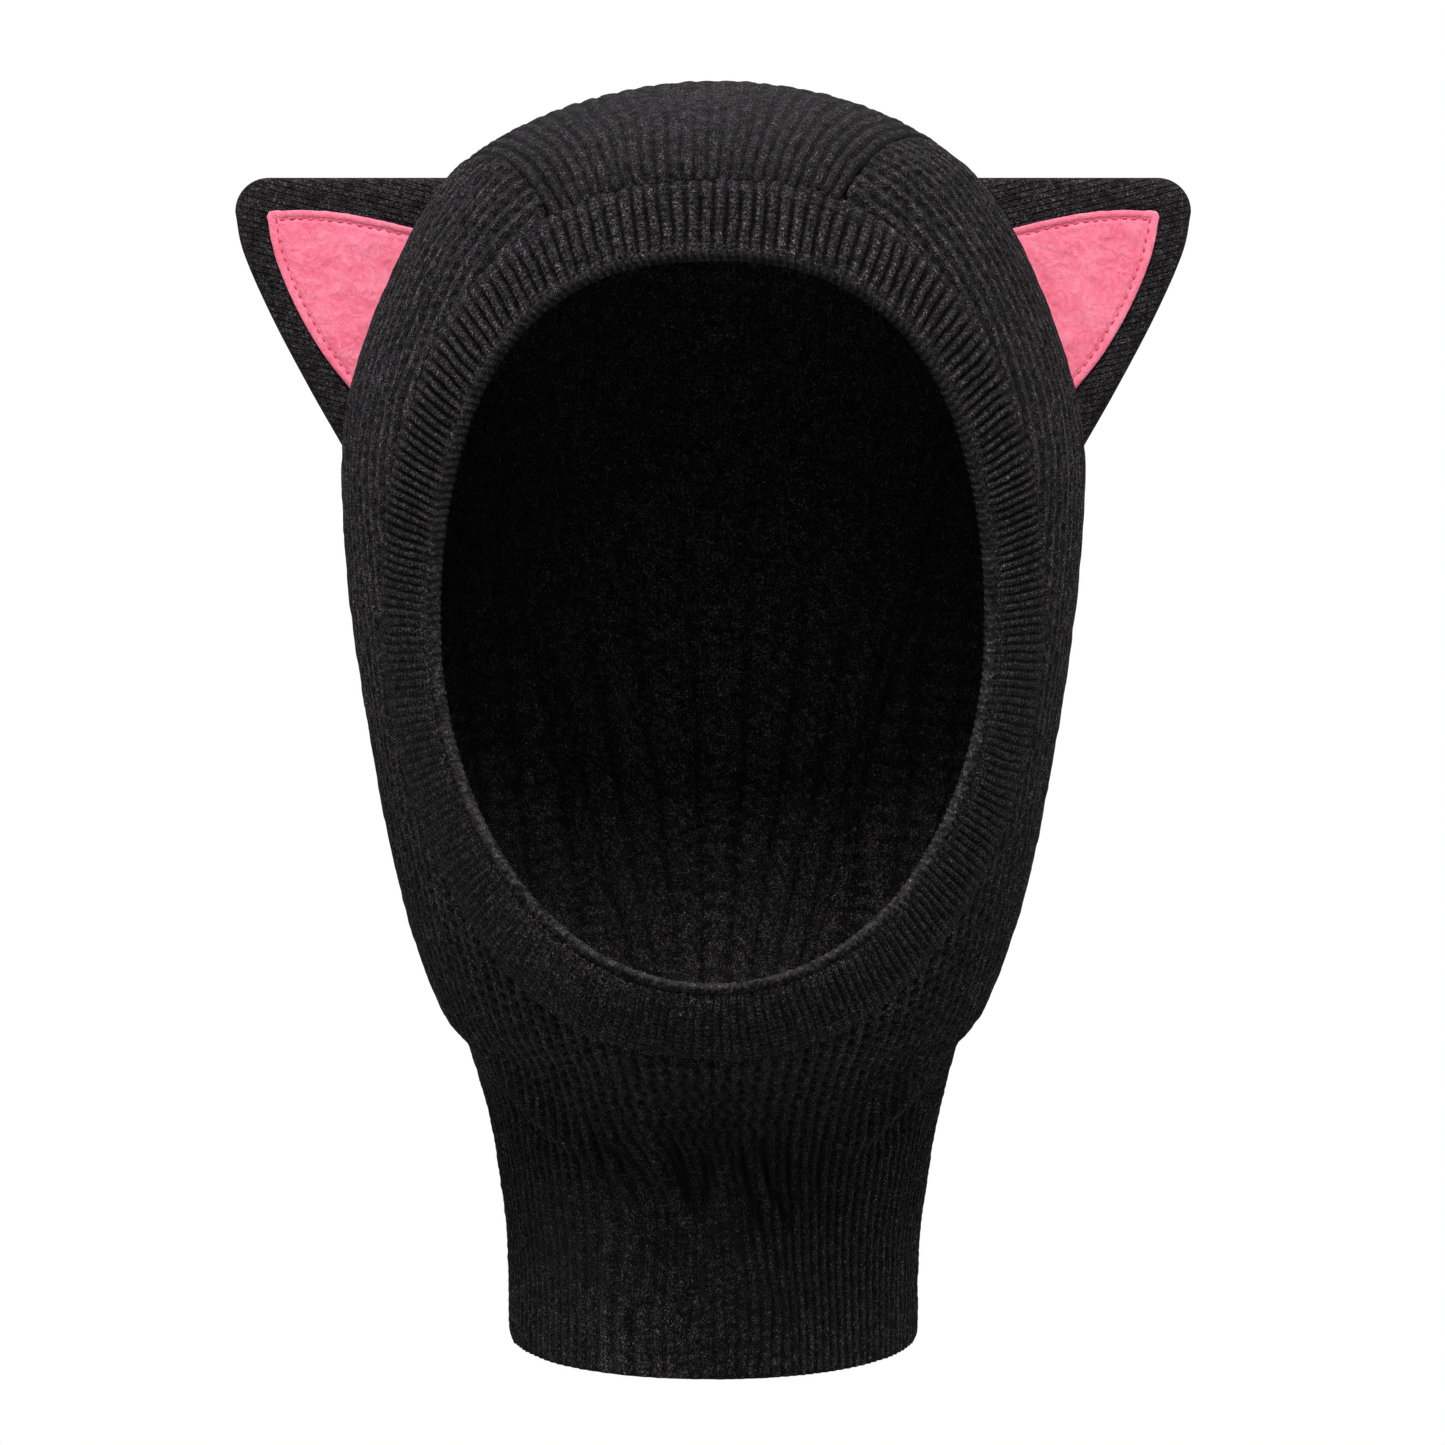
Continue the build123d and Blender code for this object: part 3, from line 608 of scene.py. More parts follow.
def build_band():
    n_ribs, per, rows, k = 236, 6, 46, 3
    # spread the ribs so that they are widest apart at the forehead
    tau = np.linspace(-np.pi / 2, 3 * np.pi / 2, 6001)
    e = (egg(OPENING, tau) + egg(BAND_OUTER, tau)) / 2
    e3 = np.stack([e[:, 0], front_y(e[:, 0], e[:, 1]), e[:, 1]], -1)
    ds = np.linalg.norm(np.diff(e3, axis=0), axis=1)
    mid = (tau[1:] + tau[:-1]) / 2
    up = 0.5 + 0.5 * np.sin(mid)
    pitch = 2.28 + 1.05 * sstep(up, 0.62, 0.97)
    ph = np.concatenate([[0], np.cumsum(ds / pitch)])
    ph *= n_ribs / ph[-1]
    cols = n_ribs * per
    want = np.arange(cols) / per
    tc = np.interp(want, ph, tau)
    t = np.linspace(0.105, 1.07, rows)
    a, b = egg(OPENING, tc), egg(BAND_OUTER, tc)
    wide = np.linalg.norm(b - a, axis=-1)
    tt = (t[:, None] + (widen(tc) / wide)[None] * np.clip((1.0 - t) / (1.0 - t[0]), 0, 1)[:, None])[..., None]
    xz = a[None] * (1 - tt) + b[None] * tt
    base = np.stack([xz[..., 0], front_y(xz[..., 0], xz[..., 1]), xz[..., 1]], -1)
    nrm = gradient(base)
    local = np.linalg.norm(np.roll(base, -1, 1) - base, axis=-1) * per
    wob = 0.18 * noise(base * [1, 1, 1], 9.0, 1) + 0.05 * noise(base, 2.2, 2)
    phase = want[None, :] + wob
    r = ridge(phase, 0.34, 2.2)
    calm = 0.62 * np.exp(-(((base[..., 0] + 34) / 27) ** 2)) * (1 - sstep(base[..., 2], 118, 150))
    calm = np.maximum(calm, 0.58 * sstep(-base[..., 0], 40, 60) * (1 - sstep(base[..., 2], 165, 212)))
    calm = np.maximum(calm, 0.30 * sstep(base[..., 0], 50, 62) * sstep(base[..., 2], 128, 146) * (1 - sstep(base[..., 2], 175, 210)))
    r = r + (0.6 - r) * calm
    course = t[:, None] * 20.0 / 1.3
    f = phase - np.floor(phase) - 0.5
    loops = 0.5 + 0.5 * np.cos(2 * np.pi * (course - 0.9 * np.abs(f)))
    ends = (0.25 + 0.75 * sstep(t, 0.12, 0.34)) * (1 - 0.60 * sstep(t, 0.76, 0.98))
    h = 0.42 * np.minimum(local, 3.3) * (r * (0.66 + 0.34 * loops) * ends[:, None] + 0.5 * (1 - ends[:, None])) * np.interp(base[..., 2], [80, 150], [0.72, 1.0])
    edge = np.minimum((t - t[0]) / 0.09, 1) ** 0.5
    outer_fade = sstep(1 - t, -0.07, 0.04)
    dome = 0.45 * np.sin(np.pi * np.clip(t, 0, 1)) ** 0.7
    off = -0.95 + dome[:, None] + h * (0.45 + 0.55 * outer_fade[:, None]) * (0.4 + 0.6 * edge[:, None]) - 0.5 * (1 - outer_fade[:, None]) * (0.2 + 0.8 * sstep(base[..., 2], 88, 112))
    off += 0.12 * noise(base, 14.0, 3)
    outer = base + nrm * off[..., None]
    inn_rows = np.arange(0, rows, k)
    cin = np.arange(0, cols, k)
    bi, ni = base[np.ix_(inn_rows, cin)], nrm[np.ix_(inn_rows, cin)]
    hin = 0.45 * ridge(want[cin][None, :] + 0.5, 0.36, 2.0)
    inner = bi - ni * (KNIT_T - hin)[..., None]
    uv_o = np.stack(np.broadcast_arrays(phase, course + 0 * phase), -1)
    uv_i = uv_o[np.ix_(inn_rows, cin)]
    # painted shade: the valleys between the ribs are darker, the more so higher up, and less so at the ends of the
    # ribs
    valley_shade = np.interp(base[..., 2], [80, 120, 180, 250], [0.42, 0.30, 0.18, 0.10])
    valley_shade = valley_shade + (0.62 - valley_shade) * (1 - ends[:, None])
    # painted shade between the loops and towards the chin, painted light on the band up at the forehead; the noise is
    # tone of the yarn
    shade_o = (valley_shade + (1 - valley_shade) * r ** 1.1) * (0.74 + 0.40 * loops) * (1 + 0.30 * noise(base, 0.9, 39)) * (1.0 + 0.25 * sstep(base[..., 2], 225.0, 270.0)) * np.interp(base[..., 2], [80, 110, 180], [0.47, 0.70, 1.0])
    # painted highlight in fine specks on the band's rim under the chin, where it faces up into the light
    near = np.exp(-(t[:, None] - t[0]) * 20.0 / 2.6) * (1 - sstep(base[..., 2], 98, 140))
    shade_o = shade_o * (1 + near * np.clip(0.75 + 1.0 * noise(base, 0.55, 53), 0, 3))
    ob = shell("knit_face_band", outer, inner, k, uv_o, uv_i, wrap=True, flip=False, mat=M_RIB, attr_out=shade_o, attr_in=shade_o[np.ix_(inn_rows, cin)])
    return ob


def build_edge():
    n_st, per, around = 250, 8, 16
    tau = np.linspace(-np.pi / 2, 3 * np.pi / 2, 6001)
    e = egg(OPENING, tau)
    g = np.stack([np.gradient(e[:, 1]), -np.gradient(e[:, 0])], -1)
    g /= np.linalg.norm(g, axis=1, keepdims=True)
    if (g[0] @ (e[0] - [0, OPEN_Z])) < 0:
        g = -g
    e = e + (1.0 + 1.3 * np.maximum(np.sin(tau), 0.0) + widen(tau))[:, None] * g
    e3 = np.stack([e[:, 0], front_y(e[:, 0], e[:, 1]), e[:, 1]], -1)
    s = np.concatenate([[0], np.cumsum(np.linalg.norm(np.diff(e3, axis=0), axis=1))])
    n = n_st * per
    u = np.arange(n) / n * s[-1]
    c = np.stack([np.interp(u, s, e3[:, k]) for k in range(3)], -1)
    nrm = gradient(c)
    t = np.roll(c, -1, 0) - np.roll(c, 1, 0)
    t /= np.linalg.norm(t, axis=1, keepdims=True)
    side = np.cross(t, nrm)
    side /= np.linalg.norm(side, axis=1, keepdims=True)
    c = c - nrm * 1.5
    ang = np.linspace(0, 2 * np.pi, around, endpoint=False)
    ph = np.arange(n)[:, None] / per
    lat = np.cos(ang)[None, :]
    top = np.sin(ang)[None, :]
    v = np.cos(2 * np.pi * (ph + 0.42 * np.abs(lat)))
    h = 0.24 * v - 0.40 * np.exp(-(lat / 0.22) ** 2) * (0.5 + 0.5 * np.sign(top))
    a_r = 1.15 + 0.30 * h
    b_r = 1.70 + h
    pts = c[:, None] + side[:, None] * (a_r * lat)[..., None] + nrm[:, None] * (b_r * top)[..., None]
    uv = np.stack(np.broadcast_arrays(ph * 1.0, lat * 0.5 + 0.5 + 0 * ph), -1)
    verts = pts.reshape(-1, 3)
    i = np.arange(n)[:, None]
    j = np.arange(around)[None, :]
    i2, j2 = (i + 1) % n, (j + 1) % around
    q = np.stack([i * around + j, i * around + j2, i2 * around + j2, i2 * around + j], -1).reshape(-1, 4)
    # painted shade between the beads of the chain, lighter on their tops
    shade = 0.60 + 0.40 * v + 0 * top
    # under the chin it is a thin speckled rim that fades into the band: its side towards the opening is painted
    # lighter, the most at the bottom, as a painted highlight where the rim faces up into the light; the speckle is
    # tone of the yarn
    low = 1 - sstep(c[:, 2], 150, 225)[:, None]
    away = np.sign(np.mean(np.sum(side * (c - [0, c[:, 1].mean(), OPEN_Z]), axis=1)))
    rim = np.clip(0.5 - 0.5 * away * lat, 0, 1)
    speck = np.clip(1 + 0.95 * noise(pts, 0.55, 51) + 0.50 * noise(pts, 1.6, 52), 0.12, 3.0)
    shade = (shade * (1 - low) + low * (0.40 + np.interp(c[:, 2], [98, 125], [1.55, 1.15])[:, None] * rim ** np.interp(c[:, 2], [98, 125], [2.5, 1.2])[:, None]) * (0.85 + 0.15 * v) * speck).ravel()
    return mesh_object("knit_cast_off_edge", verts, [q], uv.reshape(-1, 2), M_EDGE, {"shade": shade})


# ------------------------------------------------------------------ panels
O_SIDE = np.array([0.0, 1.0, 150.0])


TWIST = 4.2  # as worn, the strip over the crown sits this far to the wearer's right at the forehead


def seam_x(y, z, sign):
    """How far out the crown seam runs, with +X mirrored onto the side it is on."""
    return C0 + CY * y + CZ * z - sign * TWIST * sstep(-y, -45.0, 20.0)


def seam_point(phi, sign=1.0):
    """The crown seam on the surface, along rays from inside the head."""
    lo, hi = np.full(phi.shape, 5.0), np.full(phi.shape, 230.0)
    for _ in range(45):
        r = (lo + hi) / 2
        y, z = SY - r * np.cos(phi), 202.5 + r * np.sin(phi)
        x = seam_x(y, z, sign)
        out = implicit(np.stack([x, y, z], -1)) > 0
        hi = np.where(out, r, hi)
        lo = np.where(out, lo, r)
    y, z = SY - lo * np.cos(phi), 202.5 + lo * np.sin(phi)
    return np.stack([sign * seam_x(y, z, sign), y, z], -1)


def resample(curve, n):
    s = np.concatenate([[0], np.cumsum(np.linalg.norm(np.diff(curve, axis=0), axis=1))])
    u = np.linspace(0, s[-1], n)
    return np.stack([np.interp(u, s, curve[:, k]) for k in range(curve.shape[1])], -1), s[-1]


def band_line(tau):
    e = egg(BAND_OUTER, tau)
    return np.stack([e[:, 0], front_y(e[:, 0], e[:, 1]), e[:, 1]], -1)


def seam_ends(sign):
    """The band angle and seam angle where the crown seam reaches the band's outer edge, and
    the seam angle where it reaches the neck."""
    tau = np.linspace(0.7, 1.55, 4000)
    b = band_line(tau)
    miss = np.abs(b[:, 0] - seam_x(b[:, 1], b[:, 2], sign))
    t = tau[np.argmin(miss)]
    m = band_line(np.array([t]))[0]
    phi_d = math.atan2(m[2] - 202.5, SY - m[1])
    ph = np.linspace(phi_d, math.radians(300), 4000)
    low = np.nonzero((ph > math.radians(150)) & (seam_point(ph, sign)[:, 2] < NECK_Z))[0]
    return t, phi_d, ph[low[0]]


TAU_L, PHI_L, NAPE_L = seam_ends(1.0)
TAU_R, PHI_R, NAPE_R = seam_ends(-1.0)


def build_side(sign):
    name = "knit_left_side" if sign > 0 else "knit_right_side"
    R, C, k = 321, 239, 2
    tau_d, phi_d, phi_c = (TAU_L, PHI_L, NAPE_L) if sign > 0 else (TAU_R, PHI_R, NAPE_R)
    tb = np.linspace(-np.pi / 2, tau_d, 2500)
    c0 = band_line(tb)
    c1 = seam_point(np.linspace(phi_c, phi_d, 2500), sign) * [sign, 1, 1]
    # bottom: chin seam, then round the neck join
    zz = np.linspace(c0[0, 2], NECK_Z, 60)
    chin = np.stack([0 * zz, front_y(0 * zz, zz), zz], -1)
    end = c1[0]
    th0, th1 = 0.0, math.atan2(end[0] / fa(NECK_Z), -(end[1] - SY) / fb(NECK_Z))
    th = np.linspace(th0, th1, 600)
    cc, ss = np.cos(th), np.sin(th)
    rr = np.where(cc > 0, ff(NECK_Z), fb(NECK_Z))
    neck = np.stack([fa(NECK_Z) * np.abs(ss) ** (2 / P), SY - rr * np.sign(cc) * np.abs(cc) ** (2 / P), 0 * th + NECK_Z], -1)
    bottom = np.concatenate([chin, neck[1:]])

    def to_map(p):
        d = p - O_SIDE
        return np.stack([np.arctan2(d[:, 0], -d[:, 1]), np.arctan2(d[:, 2], np.hypot(d[:, 0], d[:, 1]))], -1)

    c0, _ = resample(c0, R + 6)
    c1, _ = resample(c1, R + 6)
    c0, c1 = to_map(c0[:R]), to_map(c1[:R])
    cb = to_map(resample(bottom, C)[0])
    u = np.linspace(0, 1, C)
    v = np.linspace(0, 1, R)
    ct = c0[-1][None] * (1 - u[:, None]) + c1[-1][None] * u[:, None]
    U, V = u[None, :, None], v[:, None, None]
    lin = (1 - U) * c0[:, None] + U * c1[:, None]
    low = (1 - V) * cb[None] + V * ct[None]
    bil = (1 - U) * (1 - V) * cb[0] + U * (1 - V) * cb[-1] + (1 - U) * V * ct[0] + U * V * ct[-1]
    ab = lin + low - bil
    al, be = ab[..., 0], ab[..., 1]
    d = np.stack([np.sin(al) * np.cos(be), -np.cos(al) * np.cos(be), np.sin(be)], -1)
    base = cast(O_SIDE, d)
    nrm = gradient(base)
    # distance to the four edges, in mm, for the roll at each seam
    du = np.linalg.norm(np.diff(base, axis=1), axis=-1)
    dv = np.linalg.norm(np.diff(base, axis=0), axis=-1)
    from0 = np.concatenate([np.zeros((R, 1)), np.cumsum(du, 1)], 1)
    from1 = from0[:, -1:] - from0
    fromb = np.concatenate([np.zeros((1, C)), np.cumsum(dv, 0)], 0)
    wale, row, hh = knit_coords(base)
    true = base * [sign, 1, 1]
    wale = wale - sign * chin_warp(true) + 0.10 * noise(true, 16.0, 4) + 0.04 * noise(true, 5.0, 5) + 0.09 * noise(true, 3.4, 46) * sstep(base[..., 2], 80, 110)
    row = row + 0.16 * noise(true, 12.0, 6) + 0.08 * noise(true, 4.0, 7)
    depth = np.interp(hh, [64, 76, 95, 140, 230, 330], [1.15, 1.3, 1.3, 1.0, 0.85, 0.75])
    bars = np.interp(hh, [64, 72, 90, 140, 230], [0.42, 0.50, 0.66, 0.66, 0.6])
    h, cell = waffle(wale, row, 1.0, rung=bars)
    puff = 0.20 * noise(true, 3.0, 8) + 0.35 * noise(true, 20.0, 9)
    roll0 = sstep(from0, 0.0, 1.6)
    roll1 = 1 - (1 - sstep(from1, 0.0, 2.0)) * np.clip(0.72 + 0.6 * noise(true, 2.6, 45), 0.15, 1.0)
    # high on the sides the cells get dark spots: painted shade of pits that the mesh does not have
    painted_pit_shade = sstep(noise(true, 1.25, 54) + 0.4 * noise(true, 0.7, 55), 0.05, 0.85) * sstep(base[..., 2], 232, 254)
    off = depth * (h - 0.72) * (0.35 + 0.65 * roll0) * roll1 + puff - (0.85 if sign > 0 else 0.30) * (1 - roll1) - 0.1 * (1 - roll0) + jaw_fold(true) + 0.8 * gathers(true) - (0.35 + 0.45 * (1 - sstep(base[..., 2], 88, 112))) * (1 - sstep(from0, 0.0, 3.0)) - np.interp(base[..., 2], [64.5, 69, 72, 75, 78, 82, 105, 150, 230, 290, 305], [0.3, 0.9, 1.9, 2.5, 2.0, 1.3, 0.9, 0.6, 0.35, 0.35, 0.0]) * sstep(np.abs(base[..., 0]), 12.0, 45.0)
    outer = base + nrm * off[..., None]
    bi, ni = base[::k, ::k], nrm[::k, ::k]
    hi, cell_i = inside_cells(wale[::k, ::k] * 0.30 + 0.5, row[::k, ::k] * 0.72)
    inner = bi - ni * (KNIT_T - 0.5 + 1.3 * hi)[..., None]
    # the painted shade of the inside cells is evened out high up
    cell_i = cell_i + (0.5 - cell_i) * 0.85 * sstep(base[::k, ::k, 2], 140.0, 200.0)
    uv = np.stack([wale * 2.0, hh / 1.9], -1)
    flip = False
    if sign < 0:
        outer, inner = outer * [-1, 1, 1], inner * [-1, 1, 1]
        flip = True
    # outside: painted shade in the valleys between the cells, along the seam roll, in the gathers and down towards
    # the chin, with random tone; inside: painted light (1.9 times) and inside_shade
    return shell(name, outer, inner, k, uv, uv[::k, ::k], flip=flip, mat=M_WAFFLE, attr_out=1.15 * (0.17 + 0.83 * cell ** np.interp(base[..., 2], [200, 265], [1.3, 1.9])) * np.minimum(roll1 + (0.25 if sign > 0 else 0.55), 1) * np.interp(base[..., 2], [64.5, 100, 190, 300], [0.42, 0.57, 1.02, 1.0]) * gather_shade(true) * (1 - 0.50 * painted_pit_shade) * (1 + 0.32 * noise(true, 1.7, 37) + 0.15 * noise(true, 7.0, 38)), attr_in=1.9 * (0.16 + 0.84 * cell_i ** 1.2) * inside_shade(bi))


def build_center():
    """The strip from the forehead over the crown to the nape."""
    R, C, k = 401, 191, 2
    # v runs along each seam and along the middle line, u across
    right = seam_point(np.linspace(PHI_L, NAPE_L, 3000), 1.0)
    left = seam_point(np.linspace(PHI_R, NAPE_R, 3000), -1.0)
    taus = np.linspace(TAU_L, np.pi - TAU_R, C)
    front = band_line(taus)
    right, _ = resample(right, R)
    left, _ = resample(left, R)
    front, _ = resample(front, C)
    th1 = math.atan2(right[-1, 0] / fa(NECK_Z), -(right[-1, 1] - SY) / fb(NECK_Z))
    th2 = math.atan2(-left[-1, 0] / fa(NECK_Z), -(left[-1, 1] - SY) / fb(NECK_Z))
    th = np.linspace(th1, 2 * np.pi - th2, 600)
    cc, ss = np.cos(th), np.sin(th)
    nape = np.stack([fa(NECK_Z) * np.sign(ss) * np.abs(ss) ** (2 / P), SY + fb(NECK_Z) * np.abs(cc) ** (2 / P), 0 * th + NECK_Z], -1)
    nape, _ = resample(nape, C)
    o = np.array([0.0, 1.0, 190.0])

    def dirs(p):
        d = p - o
        return d / np.linalg.norm(d, axis=-1, keepdims=True)

    c0, c1, cf, cn = dirs(right), dirs(left), dirs(front), dirs(nape)
    u, v = np.linspace(0, 1, C), np.linspace(0, 1, R)
    U, V = u[None, :, None], v[:, None, None]
    lin = (1 - U) * c0[:, None] + U * c1[:, None]
    lin /= np.linalg.norm(lin, axis=-1, keepdims=True)
    lowv = (1 - V) * cf[None] + V * cn[None]
    corner = (1 - U) * (1 - V) * cf[0] + U * (1 - V) * cf[-1] + (1 - U) * V * cn[0] + U * V * cn[-1]
    # only the ends need the curved front and nape lines, so their pull fades quickly
    fade0 = np.exp(-(v / 0.16) ** 2)[:, None, None]
    fade1 = np.exp(-((1 - v) / 0.12) ** 2)[:, None, None]
    f_lin = (1 - U) * cf[0] + U * cf[-1]
    n_lin = (1 - U) * cn[0] + U * cn[-1]
    f_lin = f_lin / np.linalg.norm(f_lin, axis=-1, keepdims=True)
    n_lin = n_lin / np.linalg.norm(n_lin, axis=-1, keepdims=True)
    d = lin + fade0 * (cf[None] - f_lin) + fade1 * (cn[None] - n_lin)
    base = cast(o, d)
    nrm = grid_normals(base, 1.0)
    if (nrm[R // 3, C // 2] @ np.array([0, 0, 1.0])) < 0:
        nrm = -nrm
    du = np.linalg.norm(np.diff(base, axis=1), axis=-1)
    dv = np.linalg.norm(np.diff(base, axis=0), axis=-1)
    from0 = np.concatenate([np.zeros((R, 1)), np.cumsum(du, 1)], 1)
    from1 = from0[:, -1:] - from0
    edge_s = np.minimum(from0, from1)
    length = np.concatenate([np.zeros((1, C)), np.cumsum(dv, 0)], 0)
    ribs = 26.0
    wale = u[None, :] * ribs + 0 * v[:, None]
    wale = wale + 0.22 * noise(base, 18.0, 10) + 0.10 * noise(base, 5.0, 11)
    row = length / 4.2 + 0.15 * noise(base, 12.0, 12)
    # plain soft ribs over the crown, waffle cells down the back
    back = sstep(length, 150.0, 215.0)
    soft = np.interp(length, [0, 14, 45, 100, 160, 400], [1.1, 1.0, 0.6, 0.5, 0.85, 1.0])
    # the ribs are deepest beside the seams, and fade into the nap in the middle
    soft = soft * (0.50 + 0.7 * np.abs(2 * u[None, :] - 1) ** 1.5)
    rib = ridge(wale, 0.38, 2.0) * (0.90 + 0.10 * np.cos(2 * np.pi * length / 1.9))
    h_w, cell = waffle(wale, row, 1.0)
    mixed = rib * (1 - back) + h_w * back
    puff = 0.24 * noise(base, 2.2, 13) + 0.35 * noise(base, 26.0, 14)
    roll_s = 1 - (1 - sstep(edge_s, 0.0, 1.7)) * np.clip(0.72 + 0.6 * noise(base, 2.6, 45), 0.15, 1.0)
    roll_f = sstep(length, 0.0, 2.6)
    off = soft * (mixed - 0.7) * (0.3 + 0.7 * roll_s) + puff - np.where(from0 < from1, 0.6, 0.25) * (1 - roll_s) - 0.55 * (1 - sstep(length, 0.0, 3.2)) + 0.25 * sstep(-length, -9.0, 0.0) * (mixed - 0.4)
    outer = base + nrm * off[..., None]
    bi, ni = base[::k, ::k], nrm[::k, ::k]
    hi, cell_i = inside_cells(wale[::k, ::k] * 0.314 + 0.5, row[::k, ::k] * 0.95)
    inner = bi - ni * (KNIT_T - 0.5 + 1.3 * hi)[..., None]
    cell_i = cell_i + (0.5 - cell_i) * 0.85 * sstep(base[::k, ::k, 2], 140.0, 200.0)
    uv = np.stack([wale * 2.0, length / 1.9], -1)
    # painted shade: the rib valleys are darker, less so in the middle of the crown, with a darker strip along each
    # seam
    fade = 0.30 + 0.46 * (1 - np.abs(2 * u[None, :] - 1)) * sstep(length, 8.0, 40.0)
    seam_groove_shade = np.where(from0 < from1, 0.60, 0.30)
    shade = (fade + (1 - fade) * mixed ** 1.2) * (1 - seam_groove_shade + seam_groove_shade * roll_s)
    # painted shade on the back, darker down towards the nape
    shade = shade * (1 - back) + 1.15 * back * (0.10 + 0.90 * cell ** 1.4) * np.interp(base[..., 2], [64.5, 100, 190], [0.42, 0.60, 1.0])
    shade = shade * 0.85 * (1 + 0.34 * noise(base, 1.3, 35) + 0.15 * noise(base, 4.0, 36))
    # inside: painted shade in the cells, evened out high up, and painted light (1.9 times) with inside_shade
    return shell("knit_crown_and_back", outer, inner, k, uv, uv[::k, ::k], flip=False, mat=M_CROWN, attr_out=shade, attr_in=1.9 * (0.16 + 0.84 * cell_i ** 1.2) * inside_shade(bi))


def build_neck(front):
    name = "knit_neck_front" if front else "knit_neck_back"
    R, C, k = 115, 481, 2
    th = np.linspace(-np.pi / 2, np.pi / 2, C)  # 0 is straight ahead, or straight back
    z = np.linspace(0.0, NECK_Z, R)
    Z, T = np.meshgrid(z, th, indexing="ij")
    reach = ff(Z) if front else fb(Z)
    x = fa(Z) * np.sign(np.sin(T)) * np.abs(np.sin(T)) ** (2 / P)
    y = reach * np.abs(np.cos(T)) ** (2 / P) * (-1 if front else 1) + SY
    base = np.stack([x, y, Z], -1)
    nrm = gradient(base)
    nrm[..., 2] *= 0.6 + 0.4 * sstep(Z, 50, 63)
    nrm /= np.linalg.norm(nrm, axis=-1, keepdims=True)
    wale, row, _ = knit_coords(base)
    wale = np.where(x < 0, -wale, wale)
    plain = wale + 0.25 * noise(base, 7.0, 33)
    wale = wale - chin_warp(base)
    # the same yarn noise as the panels above, so that the ribs run on across the join
    wale = wale + np.where(x < 0, -1, 1) * (0.10 * noise(base, 16.0, 4) + 0.04 * noise(base, 5.0, 5))
    wale = wale + 0.10 * (1 - sstep(Z, 50, 62)) * noise(base, 11.0, 15)
    row = row + 0.16 * noise(base, 12.0, 6) + 0.08 * noise(base, 4.0, 7)
    rib = ridge(wale, 0.35, 2.2)
    bars = ridge(row, 0.36, 2.0)
    rung = np.interp(Z, [0, 30, 64.5], [0.30, 0.34, 0.42])
    depth = np.interp(Z, [0, 4, 12, 40, 64.5], [0.45, 0.75, 0.85, 0.95, 1.15])
    h = np.maximum(rib * (1 - 0.10 * bars), rung * bars * (0.35 + 0.65 * (1 - rib)))
    if front:
        # the loops open up low in the middle, where the knit is stretched least
        chunky = 0.9 * sstep(-(((x - 4) / 19) ** 2 + ((Z - 8) / 22) ** 2), -1.0, -0.25)
        stag = Z / 2.6 + 0.5 * np.floor(plain) + 0.3 * noise(base, 5.0, 34)
        loops = (0.35 + 0.65 * (0.5 + 0.5 * np.cos(2 * np.pi * stag))) * ridge(plain, 0.42)
        h = h * (1 - chunky) + chunky * loops
    puff = 0.20 * noise(base, 3.0, 8) + 0.35 * noise(base, 20.0, 9)
    rollz = sstep(Z, 0.0, 1.3)
    # stretched smooth under the chin on the -X side
    slack = 0.6 * sstep(x, -50, -38) * (1 - sstep(x, 2, 16)) * sstep(55 - Z, 0, 14) * (1 - 0.5 * sstep(22 - Z, 0, 14)) * front
    off = depth * (1 - slack) * (h - 0.72) + puff - 0.4 * (1 - rollz) + jaw_fold(base) + gathers(base) - 0.3 * sstep(Z, 12, 40) * sstep(np.abs(x), 12.0, 45.0)
    outer = base + nrm * off[..., None]
    bi, ni = base[::k, ::k], nrm[::k, ::k]
    inner = bi - ni * (KNIT_T - 0.5 * rib[::k, ::k])[..., None]
    uv = np.stack([wale * 2.0, Z / 1.7], -1)
    # painted shade: the rib valleys are darker, less so where the knit is stretched; the neck is darker up under the
    # chin, where the chin's shadow falls, with the gathers' painted shade, and a little darker where stretched
    valley_shade = 0.16 + 0.55 * slack
    shade = 0.95 * (valley_shade + (1 - valley_shade) * np.clip(h, 0, 1) ** 1.2) * np.interp(Z, [0, 20, 45, 64.5], [0.84, 0.66, 0.50, 0.48]) * gather_shade(base)
    shade = shade * (1 - 0.18 * slack) * (1 + 0.22 * noise(base, 1.6, 37) + 0.15 * noise(base, 7.0, 38))
    flip = not front
    # inside: painted shade in the rib valleys
    return shell(name, outer, inner, k, uv, uv[::k, ::k], flip=flip, mat=M_NECK, attr_out=shade, attr_in=0.2 + 0.8 * rib[::k, ::k])


# ------------------------------------------------------------------ ears
def spline_pts(ctrl, n):
    """Catmull-Rom through control points, as n points."""
    c = np.asarray(ctrl, float)
    c = np.concatenate([[2 * c[0] - c[1]], c, [2 * c[-1] - c[-2]]])
    m = len(c) - 3
    out = []
    for t in np.linspace(0, m, n):
        i = min(int(t), m - 1)
        f = t - i
        p0, p1, p2, p3 = c[i], c[i + 1], c[i + 2], c[i + 3]
        out.append(0.5 * (2 * p1 + (p2 - p0) * f + (2 * p0 - 5 * p1 + 4 * p2 - p3) * f * f + (3 * p1 - p0 - 3 * p2 + p3) * f**3))
    return np.array(out)


def dist_to(line, pts):
    """Distance from each point to an open polyline."""
    best = np.full(len(pts), 1e9)
    for a, b in zip(line[:-1], line[1:]):
        ab = b - a
        t = np.clip(((pts - a) @ ab) / (ab @ ab + 1e-12), 0, 1)
        q = a + t[:, None] * ab
        best = np.minimum(best, np.linalg.norm(pts - q, axis=1))
    return best


